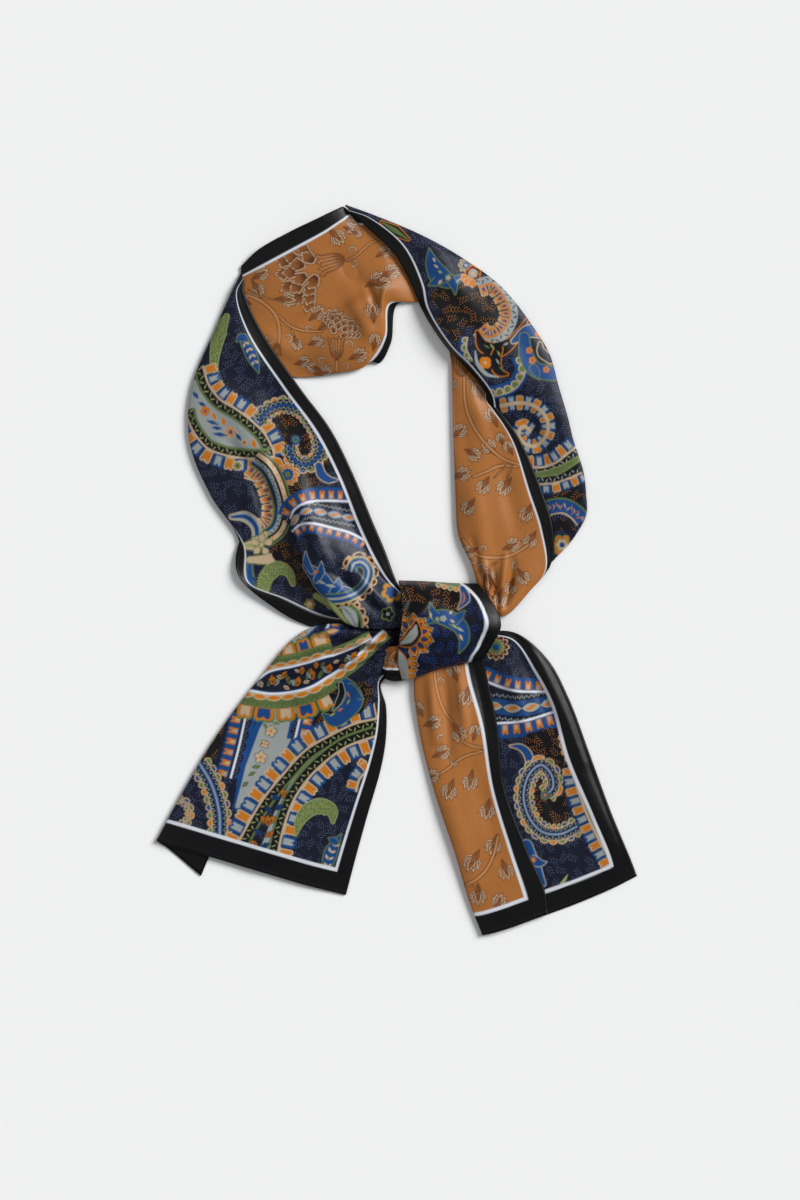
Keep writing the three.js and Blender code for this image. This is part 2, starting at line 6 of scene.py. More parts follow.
import bpy
import numpy as np
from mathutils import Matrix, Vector


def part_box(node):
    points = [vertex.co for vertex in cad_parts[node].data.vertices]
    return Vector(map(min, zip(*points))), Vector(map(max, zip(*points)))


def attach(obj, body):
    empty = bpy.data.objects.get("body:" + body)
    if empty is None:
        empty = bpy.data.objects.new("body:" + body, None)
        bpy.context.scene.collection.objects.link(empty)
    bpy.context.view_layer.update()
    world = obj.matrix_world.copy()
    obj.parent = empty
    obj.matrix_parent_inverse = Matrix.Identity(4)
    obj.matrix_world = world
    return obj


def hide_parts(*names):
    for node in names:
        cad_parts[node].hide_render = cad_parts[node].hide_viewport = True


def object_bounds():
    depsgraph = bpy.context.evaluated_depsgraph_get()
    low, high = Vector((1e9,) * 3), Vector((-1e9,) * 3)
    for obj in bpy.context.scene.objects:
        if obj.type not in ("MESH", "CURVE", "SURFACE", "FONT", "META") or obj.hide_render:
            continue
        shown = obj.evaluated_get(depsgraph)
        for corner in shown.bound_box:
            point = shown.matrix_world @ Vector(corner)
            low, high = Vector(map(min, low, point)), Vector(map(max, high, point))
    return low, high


bl_info = {
    "name": "Silk cravat",
    "version": (1, 0, 0),
    "blender": (4, 5, 0),
    "location": "View3D > Sidebar > Cravat",
    "description": "Builds a knotted double-faced silk cravat, laid flat",
    "category": "Object",
}

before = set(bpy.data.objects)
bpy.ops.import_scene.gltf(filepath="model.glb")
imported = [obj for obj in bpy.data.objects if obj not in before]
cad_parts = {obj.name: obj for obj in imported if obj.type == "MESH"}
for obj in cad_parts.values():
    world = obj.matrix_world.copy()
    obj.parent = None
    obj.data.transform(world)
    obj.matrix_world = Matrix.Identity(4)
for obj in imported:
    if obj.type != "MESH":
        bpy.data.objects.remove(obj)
CAD_BOX = [[float(c) for c in corner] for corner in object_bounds()]
MM = 0.001
FAR_FROM_END = 500.0  # of a point on a stretch that has no tail's end, in millimetres


# ------------------------------------------------------------------------------- the inks

# Each ink's red, green and blue from 0 to 255 as seen, and where it is used.
SILK_INKS = {
    "border": ((6, 6, 9), "the border around both faces"),
    "white_line": ((236, 240, 248), "the line inside the border"),
    "ground": ((17, 23, 44), "the navy face's ground"),
    "dark_ground": ((13, 11, 15), "the brown-black ground inside the spirals"),
    "fern_grey": ((84, 94, 126), "the ferns on the navy ground"),
    "fern_blue": ((40, 82, 168), "the brighter ferns"),
    "fern_orange": ((168, 104, 42), "the leaf dashes on the brown-black ground"),
    "blue": ((17, 74, 138), "mid blue petals and leaves"),
    "orange": ((214, 124, 20), "orange petals"),
    "olive": ((104, 124, 70), "green stripes and crescents"),
    "olive_light": ((166, 172, 108), "the small leaves on the crescents"),
    "cream": ((208, 182, 148), "outlines of petals"),
    "pale": ((164, 172, 170), "pale grey-blue grounds and petals"),
    # This black is also laid as painted shadow along the left tail's top by the knot.
    "black_ink_and_painted_shade": ((10, 12, 20), "the dark bands under the leaf dashes"),
    "ochre": ((186, 118, 58), "the ochre face's ground"),
    "ochre_light": ((206, 144, 88), "the middle of the stems"),
    "bud": ((158, 96, 48), "the buds' fill"),
    "brown": ((92, 48, 22), "brown outlines"),
    "cream_line": ((228, 196, 160), "the ragged edges of the buds"),
}


def linear(colour):
    """A colour as seen, as the light that it gives back."""
    parts = [c / 255 for c in colour]
    return tuple(c / 12.92 if c <= 0.04045 else ((c + 0.055) / 1.055) ** 2.4 for c in parts)


# ------------------------------------------------------------------------------- the print
# A face of the ribbon is printed at the points of its cloth: layers of ink go down in order, each
# one a cover from 0 to 1 at the points it reaches. Places and sizes are in millimetres, seen from
# above as the cravat lies.

INK_EDGE = 0.55  # how far an ink takes to fade out at its edge


def through(points, t):
    """The smooth curve through a list of points, at t counted in points from its start."""
    p = np.asarray(points, float)
    ends = np.vstack([2 * p[0] - p[1], p, 2 * p[-1] - p[-2]])
    i = np.minimum(np.floor(t).astype(int), len(p) - 2)
    w = (t - i)[:, None]
    p0, p1, p2, p3 = ends[i], ends[i + 1], ends[i + 2], ends[i + 3]

    def span(a, b):
        return (np.maximum(((a - b) ** 2).sum(-1), 1e-12) ** 0.25)[:, None]

    d0, d1, d2 = span(p0, p1), span(p1, p2), span(p2, p3)
    m1 = ((p1 - p0) / d0 - (p2 - p0) / (d0 + d1) + (p2 - p1) / d1) * d1
    m2 = ((p2 - p1) / d1 - (p3 - p1) / (d1 + d2) + (p3 - p2) / d2) * d1
    return (
        (2 * w**3 - 3 * w**2 + 1) * p1
        + (w**3 - 2 * w**2 + w) * m1
        + (3 * w**2 - 2 * w**3) * p2
        + (w**3 - w**2) * m2
    )


def smooth(points, step=1.5):
    """A smooth line through a few places, as points about a step apart."""
    p = np.asarray(points, float).reshape(-1, 2)
    if len(p) == 2:
        p = np.array([p[0], p.mean(0), p[1]])
    length = np.hypot(*np.diff(p, axis=0).T).sum()
    return through(p, np.linspace(0, len(p) - 1, max(int(length / step), 6)))


def away(place, angle, distance):
    """The place that lies at a distance from another, at an angle in degrees."""
    turn = math.radians(angle)
    return (place[0] + distance * math.cos(turn), place[1] + distance * math.sin(turn))


def cover(gap):
    """How much ink lies at a gap from a shape's edge, which is negative inside it."""
    return np.clip(0.5 - gap / INK_EDGE, 0, 1)


def chance(i, j, seed):
    """An even random share for each whole-numbered place, the same in each run."""
    n = (i.astype(np.int64) * 73856093) ^ (j.astype(np.int64) * 19349663) ^ (seed * 83492791)
    n = ((n ^ (n >> 13)) * 1274126177) & 0x7FFFFFFF
    n = ((n ^ (n >> 15)) * 951274213) & 0x7FFFFFFF
    return ((n >> 7) & 0xFFFF) / 65536.0


class Print:
    """The colours of one face of the cloth."""

    def __init__(self, x, y, inks, ground):
        self.x, self.y, self.inks = x, y, inks
        self.colour = np.tile(np.asarray(inks[ground], float), (len(x), 1))
        # The ink of the ferns on the ground, and how much of the ground still shows.
        bare = 1.0 if ground == "ground" else 0.0
        self.fern = np.tile(np.array([*inks["fern_grey"], bare], float), (len(x), 1))

    def lay(self, at, share, ink):
        """Covers points with an ink, each by its share."""
        colour = np.asarray(self.inks[ink], float)
        share = np.clip(share, 0, 1)
        self.colour[at] += share[:, None] * (colour - self.colour[at])
        self.fern[at, 3] *= 1 - share

    def close_to(self, low, high):
        """The points inside a rectangle."""
        inside = (self.x > low[0]) & (self.x < high[0]) & (self.y > low[1]) & (self.y < high[1])
        return np.flatnonzero(inside)

    def turned(self, centre, angle, reach):
        """The points within reach of a centre, and their places along an angle and across it."""
        at = self.close_to(np.subtract(centre, reach), np.add(centre, reach))
        c, s = math.cos(math.radians(angle)), math.sin(math.radians(angle))
        dx, dy = self.x[at] - centre[0], self.y[at] - centre[1]
        return at, dx * c + dy * s, dy * c - dx * s

    def beside(self, line, reach):
        """The points within reach of a line, how far along it each is, and how far off it."""
        at = self.close_to(line.min(0) - reach, line.max(0) + reach)
        px, py = self.x[at], self.y[at]
        best = np.full(len(at), 1e9)
        along, off = np.zeros(len(at)), np.zeros(len(at))
        travelled = 0.0
        for a, b in zip(line[:-1], line[1:]):
            ex, ey = b - a
            length = math.hypot(ex, ey) or 1e-9
            t = np.clip(((px - a[0]) * ex + (py - a[1]) * ey) / length**2, 0, 1)
            dx, dy = px - a[0] - t * ex, py - a[1] - t * ey
            far = dx * dx + dy * dy
            new = far < best
            best[new] = far[new]
            along[new] = travelled + t[new] * length
            off[new] = (np.sign(ex * dy - ey * dx) * np.sqrt(far))[new]
            travelled += length
        keep = best < reach * reach
        return at[keep], along[keep], off[keep], travelled

    # ---- grounds

    def ferns(self, ink, area=slice(None)):
        """Has the ferns on a ground printed in an ink of their own."""
        self.fern[area] = [*self.inks[ink], 1.0]

    def flecks(self, ink, at):
        """Short leaf dashes, each turned its own way."""
        pitch, size, seed = 1.9, 0.34, 11
        x, y = self.x[at], self.y[at]
        ci, cj = np.floor(x / pitch), np.floor(y / pitch)
        share = np.zeros(len(at))
        for di in (-1, 0, 1):
            for dj in (-1, 0, 1):
                i, j = ci + di, cj + dj
                dx = x - (i + 0.2 + 0.6 * chance(i, j, seed)) * pitch
                dy = y - (j + 0.2 + 0.6 * chance(i, j, seed + 1)) * pitch
                turn = chance(i, j, seed + 2) * math.pi
                a = dx * np.cos(turn) + dy * np.sin(turn)
                b = dy * np.cos(turn) - dx * np.sin(turn)
                gap = (np.sqrt((a / (2.1 * size)) ** 2 + (b / size) ** 2) - 1) * size
                share = np.maximum(share, cover(gap))
        self.lay(at, share * 0.9, ink)

    # ---- strokes: stems, commas, hooks, leaves

    def stroke(self, points, widths, ink, outline=None, line=0.7, inner=None):
        """A tapered stroke along a line; widths are spread evenly along it."""
        path = smooth(points)
        reach = max(widths) / 2 + line + 1
        at, along, off, length = self.beside(path, reach)
        if not len(at):
            return at, along, off, off
        share = along / length
        half = np.interp(share, np.linspace(0, 1, len(widths)), widths) / 2
        gap = np.abs(off) - half
        if outline:
            self.lay(at, cover(gap - line), outline)
        self.lay(at, cover(gap), ink)
        if inner:
            self.lay(at, cover(gap + half * 0.55), inner)
        return at, share, off, gap

    def comma(self, points, widths, ink, outline, dots):
        """A bent drop filled with small leaves."""
        at, _, _, gap = self.stroke(points, widths, ink, outline, 0.6)
        inside = at[gap < -0.6]
        if len(inside):
            self.flecks(dots, inside)

    def leaf(self, points, width, ink, outline, vein, barbs):
        """A pointed leaf with a vein, and barbs of another ink set along it."""
        widths = [0.2, 0.75 * width, width, 0.7 * width, 0.1]
        at, share, off, _ = self.stroke(points, widths, ink, outline, 0.75)
        if not len(at):
            return
        if barbs:
            pitch = 0.16
            s = (share - np.abs(off) / width * pitch) / pitch
            fleck = np.abs(s - np.floor(s) - 0.5) * pitch * 20 - 0.55
            keep = (np.abs(off) < width * 0.3) & (np.abs(off) > 0.25) & (np.abs(share - 0.5) < 0.35)
            self.lay(at, cover(fleck) * keep, barbs)
        if vein:
            self.lay(at, cover(np.abs(off) - 0.22) * (share > 0.1) * (share < 0.9), vein)

    # ---- bands

    def band(self, points, layers):
        """Stripes and rows of ornament that follow a line; offsets are to the line's left."""
        path = smooth(points)
        reach = max(max(abs(layer[1]), abs(layer[2])) for layer in layers) + 1.5
        at, along, off, length = self.beside(path, reach)
        if not len(at):
            return
        ends = np.minimum(along, length - along)
        open_end = (ends > 0.02).astype(float)
        for kind, low, high, *rest in layers:
            draw = getattr(self, "_" + kind)
            draw(at, along, off, open_end, low, high, *rest)

    @staticmethod
    def _rise(off, low, high):
        """A row's height and how far each point is above its foot, which is the low offset."""
        return abs(high - low), (off - low) * (1 if high > low else -1)

    def _stripe(self, at, along, off, on, low, high, ink):
        gap = np.maximum(min(low, high) - off, off - max(low, high))
        self.lay(at, cover(gap) * on, ink)

    def _fringe(self, at, along, off, on, low, high, pitch, kinds):
        """A row of tulips that stand on the low offset; kinds are (fill, outline, heart)."""
        tall, rise = self._rise(off, low, high)
        place = along / pitch
        which = np.floor(place)
        t = np.abs(place - which - 0.5) * pitch

        def box(wide, foot, crown, round_off):
            q = t - wide + round_off
            w = rise - crown + round_off
            far = np.hypot(np.maximum(q, 0), np.maximum(w, 0)) + np.minimum(np.maximum(q, w), 0)
            return np.maximum(far - round_off, foot - rise)

        lobes = 0.10 * tall * np.exp(-((t / (0.12 * pitch)) ** 2))
        notch = 0.2 * tall * np.exp(-((t / (0.09 * pitch)) ** 2))
        for n, (fill, edge, heart) in enumerate(kinds):
            mine = (np.mod(which, len(kinds)) == n) * on
            wide = {"cream": 0.40, "olive": 0.48, "orange": 0.43}.get(edge, 0.53)
            outer = box(wide * pitch, -0.3, tall - lobes, 0.3 * pitch)
            self.lay(at, cover(outer) * mine, edge)
            inner = box(0.27 * pitch, 0.08 * tall, 0.86 * tall - notch, 0.16 * pitch)
            self.lay(at, cover(inner - 0.2) * mine * 0.6, "black_ink_and_painted_shade")
            self.lay(at, cover(inner) * mine, fill)
            if heart:
                core = box(0.13 * pitch, 0.1 * tall, 0.5 * tall, 0.1 * pitch)
                self.lay(at, cover(core) * mine, heart)

    def _dashes(self, at, along, off, on, low, high, pitch, ink):
        """Small leaves that lean in from one side of the band and the other by turns."""
        lean, thick = 0.6, 0.34
        half = abs(high - low) / 2
        which = np.floor(along / pitch)
        side = 1 - 2 * np.mod(which, 2)
        u = (off - (low + high) / 2) / half * side - 0.3
        t = (along / pitch - which - 0.5) * pitch + lean * u * half
        gap = np.maximum(np.abs(t) - thick * (1.3 - 2 * u * u), (np.abs(u) - 0.6) * half)
        self.lay(at, cover(gap) * on, ink)

    def _wave(self, at, along, off, on, low, high, pitch, ink):
        """A stripe whose high side is wavy."""
        tall, rise = self._rise(off, low, high)
        crest = tall * (0.78 + 0.22 * np.cos(2 * math.pi * along / pitch))
        self.lay(at, cover(np.maximum(-rise, rise - crest)) * on, ink)

    def _hatch(self, at, along, off, on, low, high, pitch, ink):
        """Short strokes across the band, every other one shorter."""
        tall, rise = self._rise(off, low, high)
        which = np.floor(along / pitch)
        t = np.abs(along / pitch - which - 0.5) * pitch
        crown = tall * (1 - 0.4 * np.mod(which, 2))
        self.lay(at, cover(np.maximum(t - 0.16, np.maximum(-rise, rise - crown))) * on * 0.8, ink)

    def _arcs(self, at, along, off, on, low, high, pitch, outline, fill):
        """Long flat scallops, each with a crescent of another ink."""
        tall, rise = self._rise(off, low, high)
        t = 2 * (along / pitch - np.floor(along / pitch) - 0.5)
        crown = tall * (1 - 0.42 * t * t)
        self.lay(at, cover(np.maximum(rise - crown, -rise)) * on, outline)
        moon = np.maximum(rise - crown + 0.8, 0.5 + 1.4 * t * t - rise)
        self.lay(at, cover(np.maximum(moon, np.abs(t) * 5 - 4.2)) * on, fill)

    def _chain(self, at, along, off, on, low, high, pitch, fill, outline, heart):
        """Lenses end to end, each with a leaf of another ink in it."""
        half = abs(high - low) / 2
        c = off - (low + high) / 2
        place = along / pitch
        t = place - np.floor(place) - 0.5
        lens = np.abs(c) - half * (1 - (2 * t) ** 2)
        self.lay(at, cover(lens - 0.7) * (np.abs(c) < half + 1) * on, outline)
        self.lay(at, cover(lens) * on, fill)
        leaf = np.abs(c - 0.8 * np.sin(t * 9)) - half * 0.42 * (1 - (2.6 * t) ** 2)
        self.lay(at, cover(leaf) * on, heart)

    def _scallops(self, at, along, off, on, low, high, pitch, fills, outline="cream", heart=None):
        """Small round petals in a row, their crowns on the high offset."""
        tall, rise = self._rise(off, low, high)
        place = along / pitch
        which = np.floor(place)
        t = (place - which - 0.5) * pitch
        radius = 0.5 * pitch
        dome = np.maximum(np.hypot(t, np.maximum(rise - (tall - radius), 0)) - radius * 0.97, -rise)
        self.lay(at, cover(dome) * on, outline)
        for n, fill in enumerate(fills):
            mine = (np.mod(which, len(fills)) == n) * on
            self.lay(at, cover(dome + 0.75) * mine, fill)
        if heart:
            gap = np.hypot(t, rise - 0.5 * tall) - 0.2 * pitch
            self.lay(at, cover(gap) * on, heart)

    # ---- single ornaments

    def disc(self, centre, radius, inks):
        """Rings of ink, the outermost first, each of them narrower by an even step."""
        at = self.close_to(np.subtract(centre, radius + 1), np.add(centre, radius + 1))
        r = np.hypot(self.x[at] - centre[0], self.y[at] - centre[1])
        for n, ink in enumerate(inks):
            self.lay(at, cover(r - radius * (1 - n / len(inks))), ink)

    def flower(self, centre, radius, petals, inks, turn=0.0, depth=0.3, line=0.8):
        """A round flower: outline, petals, the petals' inner half, and its heart."""
        outline, petal, inner, heart = inks
        at = self.close_to(np.subtract(centre, radius + 2), np.add(centre, radius + 2))
        dx, dy = self.x[at] - centre[0], self.y[at] - centre[1]
        r = np.hypot(dx, dy)
        a = np.arctan2(dy, dx) - math.radians(turn)
        lobe = np.abs(np.cos(a * petals / 2)) ** 0.6
        edge = radius * (1 - depth + depth * lobe)
        self.lay(at, cover(r - edge), outline)
        self.lay(at, cover(r - edge + line + 0.5 * (1 - lobe)), petal)
        if inner:
            self.lay(at, cover(r - edge * 0.62), outline)
            self.lay(at, cover(r - edge * 0.62 + line * 0.7), inner)
        if heart:
            self.lay(at, cover(r - radius * 0.24), heart)

    def petals(self, centre, radius, angles, length, width, fill, outline):
        """Drop-shaped petals that stand out around a centre."""
        for angle in angles:
            ends = [away(centre, angle, radius), away(centre, angle, radius + length)]
            widths = [0.3 * width, 0.8 * width, width, 0.8 * width, 0.2]
            self.stroke(ends, widths, fill, outline, 0.6)

    # ---- the ochre face's ornaments

    def petal(self, foot, angle, length, width, fill="bud", dark="brown", edge="cream_line"):
        """A pointed petal with a light edge, darker towards its foot."""
        at, a, b = self.turned(foot, angle, length + 1)
        u = a / length
        share = [0, 0.15, 0.42, 0.60, 0.63, 0.76, 0.79, 1.0]
        half = width / 2 * np.interp(u, share, [0.3, 0.6, 0.88, 1.0, 0.66, 0.6, 0.36, 0.0])
        gap = np.maximum(np.abs(b) - half, np.maximum(a - length, -a))
        self.lay(at, cover(gap - 0.55) * 0.9, dark)
        self.lay(at, cover(gap), edge)
        self.lay(at, cover(gap + 0.62) * 0.9, dark)
        self.lay(at, cover(gap + 1.0), fill)
        self.lay(at, cover(gap + 0.9) * np.clip(1.5 - 2.6 * u, 0, 0.9), dark)
        veins = (np.abs(np.sin(b * 2.6)) < 0.3) * (u < 0.7)
        self.lay(at, cover(gap + 1.2) * veins * 0.6, dark)

    def bud(self, centre, angle, size):
        """A bud seen from the side: a pointed striped foot and ragged petals with light edges."""
        root, tip = away(centre, angle, -0.5 * size), away(centre, angle, -1.15 * size)
        for turn, long in ((-44, 1.02), (44, 1.02), (-22, 1.22), (22, 1.22), (0, 1.3)):
            self.petal(root, angle + turn, long * size, 0.62 * size)
        self.stroke([tip, root, centre], [0.2, 0.42 * size, 0.5 * size, 0.1], "bud", "brown", 0.3)
        for turn in (-9, 9):
            self.stroke([tip, away(tip, angle + turn, 1.1 * size)], [0.2, 0.5, 0.2], "brown")

    def thistle(self, mouth, angle, size, spread):
        """An open head seen from the side: rows of pointed petals that lie over each other."""
        for share, count in ((1.0, 7), (0.77, 5), (0.53, 4), (0.28, 2)):
            for k in range(count):
                turn = angle + spread * (2 * k / (count - 1) - 1) * (0.72 + 0.28 * share)
                foot = away(mouth, turn, size * share * 0.66)
                self.petal(foot, turn + 4 * math.sin(7 * turn), 0.37 * size, 0.31 * size)

    def stem(self, points, width):
        """A stem: two brown lines with ochre between them."""
        self.stroke(points, [width + 0.5, width + 0.9, width + 0.5], "brown")
        self.stroke(points, [width - 0.5, width - 0.1, width - 0.6], "ochre_light")

    def calyx(self, centre, angle, size):
        """A cup with a striped front, a toothed rim and flared lips."""
        at, a, b = self.turned(centre, angle, size)
        u = a / size + 0.5
        half = size * np.interp(u, [0, 0.1, 0.35, 0.7, 0.88, 1], [0.07, 0.2, 0.29, 0.31, 0.4, 0.54])
        rim = size * (0.5 - 0.16 * np.abs(np.mod(b / size * 4.6, 1) - 0.5) * 2)
        gap = np.maximum(np.abs(b) - half, np.maximum(a - rim, -a - 0.5 * size))
        self.lay(at, cover(gap - 0.35), "brown")
        self.lay(at, cover(gap + 0.1), "bud")
        self.lay(at, cover(gap + 0.9) * 0.5, "ochre_light")
        lines = np.abs(np.mod(b / half * 2.5, 1) - 0.5) < 0.13
        self.lay(at, cover(gap + 0.5) * lines * (u < 0.86) * 0.85, "brown")
        self.lay(at, cover(gap + 0.4) * np.clip(1.0 - 2.2 * u, 0, 0.5), "brown")

    def curl(self, centre, radius, angle):
        """A small hooked tendril."""
        t = np.radians(angle + np.linspace(-60, 215, 9))
        r = radius * np.linspace(1.25, 0.45, 9)
        points = np.column_stack([centre[0] + r * np.cos(t), centre[1] + r * np.sin(t)])
        self.stroke(points, [1.5, 1.4, 1.0], "brown")
        self.stroke(points, [0.6, 0.55, 0.3], "cream_line")

    def patch(self, points, widths):
        """A stretch of the brown-black ground, with orange ferns."""
        at, _, _, gap = self.stroke(points, widths, "dark_ground")
        self.ferns("fern_orange", at[gap < 0.2])

    # ---- several of a kind

    def leaves(self, ink, *places):
        """Small plain leaves, each from one place to another and with its width."""
        for x0, y0, x1, y1, width in places:
            self.stroke([(x0, y0), (x1, y1)], [0.4, width, 0.4], ink)

    def blades(self, *places):
        """Pointed petals with a dark edge."""
        for x, y, angle, length, width, ink in places:
            self.petal((x, y), angle, length, width, ink, "black_ink_and_painted_shade", ink)

    def buds(self, *places):
        """Buds, each with its place, angle and size."""
        for x, y, angle, size in places:
            self.bud((x, y), angle, size)

    def curls(self, *places):
        """Tendrils, each with its place, radius and angle."""
        for x, y, radius, angle in places:
            self.curl((x, y), radius, angle)


# ------------------------------------------------------------------------------- the stretches
# Each stretch's sections run across the ribbon, from one long edge to the other or to a fold, and
# each of their points has an x, a y and the height of the cloth's middle, in millimetres. flat says
# where each point lies across the flat ribbon, and shown which of them face up. A crease runs from
# one place to another and has a width and a height. A print is a list of calls of the class above,
# and a line in it is given as x, y, x, y and so on.

# The rows of tulips: each flower's fill, its outline and its heart.
TULIPS = (("orange", "cream", None), ("pale", "blue", None))
WINDOWS = (("orange", "blue", "cream"), ("orange", "blue", "pale"))
HEARTS = (("orange", "cream", "blue"),)
FOUR_INKS = ("olive", "blue", "olive", "orange")  # of the scallops, in turn
WHITE_EDGE = ("stripe", -0.75, 0.75, "white_line")
CREAM_EDGE = ("stripe", -0.75, 0.75, "cream")
BLACK = "black_ink_and_painted_shade"

LEFT_SIDE_SECTIONS = [
    [-101.8, 192.6, 2.6, -102.3, 193.9, 3, -102.6, 194.9, 3, -102.7, 195.6, 3, -102.8, 196.2, 2.9,
     -103, 196.7, 2.6, -103.1, 197.1, 2.2, -103.2, 197.4, 1.8, -103.2, 197.6, 1.4,
     -103.3, 197.9, 1],
    [-101.1, 183.9, 3.4, -106.8, 184.3, 4.4, -108, 184.6, 4.5, -108.6, 184.7, 4.3, -109, 184.8, 4,
     -109.2, 184.9, 3.6, -109.4, 185, 3.1, -109.6, 185.1, 2.5, -109.4, 185, 1.6, -109, 184.7, 0.9],
    [-89.8, 158.6, 3.2, -99.8, 159.2, 4.2, -107.1, 159.9, 4.8, -111.8, 160.6, 4.8,
     -114.1, 160.7, 4.6, -116.4, 160.9, 4.2, -118.8, 161.2, 3.4, -120.1, 161.2, 2.2,
     -118.4, 160.9, 0.9, -105.8, 159.6, 0.6],
    [-64.4, 121.2, 3.2, -75.1, 121.2, 4.2, -97.8, 121.2, 5.2, -112.4, 121.2, 5.4,
     -119.1, 121.2, 5.2, -125.8, 121.2, 4.8, -133.1, 121.6, 3.8, -136.1, 121.9, 2.3,
     -134.1, 121.6, 0.8, -89.8, 121.2, 0.6],
    [-43.8, 93.2, 3, -53.8, 91.9, 4.2, -81.1, 89.2, 6, -99.8, 87.2, 6, -108.4, 86.6, 5.6,
     -119.8, 85.9, 4.8, -133.1, 85.9, 3.6, -137.8, 85.9, 2.3, -135.4, 85.9, 0.8, -74.4, 88.6, 0.6],
    [-29.1, 63.9, 3, -38.4, 61.9, 4.4, -59.1, 55.9, 7.5, -73.1, 51.2, 8, -77.8, 49.9, 6.5,
     -89.8, 49.2, 4.6, -114.4, 47.2, 3.6, -123.8, 49.9, 2.3, -120.8, 48.6, 0.8, -85.8, 46.6, 0.6],
    [-16.4, 33.2, 3, -25.8, 30.6, 4.6, -47.8, 25.9, 9, -66.4, 21.2, 9.5, -66.4, 20.6, 6.2,
     -72.4, 19.2, 3.4, -91.1, 15.9, 2.6, -101.8, 16.6, 2.6, -103.8, 17.2, 2.2, -105.1, 17.9, 1.5],
    [-7.1, 11.2, 3.2, -15.1, 7.9, 5, -36.4, 1.2, 10, -59.1, -0.8, 10.5, -55.8, -2.1, 6.4,
     -62.4, -4.1, 2.4, -83.1, -6.8, 1.2, -99.1, -8.1, 3.2, -103.1, -5.4, 4, -105.8, -2.8, 4.2],
    [-1.8, -3.4, 3.6, -5.8, -6.8, 5.6, -23.1, -15.4, 10.5, -49.1, -16.1, 10.5, -44.4, -18.1, 6.4,
     -52.4, -18.8, 2.4, -64.4, -20.1, 1.4, -75.1, -18.8, 2.4, -80.4, -21.4, 2.9,
     -83.8, -23.8, 2.4],
    [1.6, -11.4, 3.4, 1.6, -14.8, 5.6, -8.4, -25.4, 10.6, -31.8, -36.1, 9.4, -28.4, -34.8, 6,
     -33.8, -32.1, 2.2, -37.8, -30.8, 1.2, -44.4, -31.4, 1, -51.8, -35.1, 0.8, -56.4, -37.8, 0.7],
    [4.2, -14.8, 4.6, 4.2, -18.1, 7, 4.2, -26.8, 11, 3.6, -38.8, 9.4, 2.9, -36.8, 6.6,
     -0.4, -33.4, 3.8, -4.4, -32.1, 2.4, -11.1, -32.8, 1.2, -17.8, -34.4, 0.8, -23.1, -36.1, 0.6],
]
LEFT_SIDE_CREASES = [
    ((-69.1, 66.6), (-44.4, -12.1), 6.5, 3.5), ((-60.4, 39.9), (-31.1, -22.8), 6, 1.9),
    ((-89.8, 78.6), (-77.8, 46.6), 4, 3.2), ((-81.1, 66.6), (-89.8, 33.2), 4.5, -2.6),
    ((-103.1, 61.2), (-89.8, 26.6), 5, 2.3), ((-112.4, 86.6), (-97.8, 66.6), 4.5, -1.7),
    ((-121.8, 126.6), (-89.8, 78.6), 9, 2.3), ((-97.8, 139.9), (-64.4, 86.6), 9, -2),
    ((-107.1, 159.9), (-89.8, 126.6), 7, 1.9), ((-51.1, 33.2), (-20.4, -13.4), 6.5, 2.2),
    ((-39.1, 46.6), (-16.4, 6.6), 5, -1.9), ((-33.8, 6.6), (-3.1, -28.1), 4, 2.6),
    ((-44.4, -0.1), (-7.1, -32.1), 3.5, -2.3), ((-20.4, 6.6), (0.9, -17.4), 3.5, -2),
    ((-116.4, 33.2), (-97.8, 6.6), 6, 2.6), ((-96.4, 19.9), (-89.8, -13.4), 5, -2.3),
]
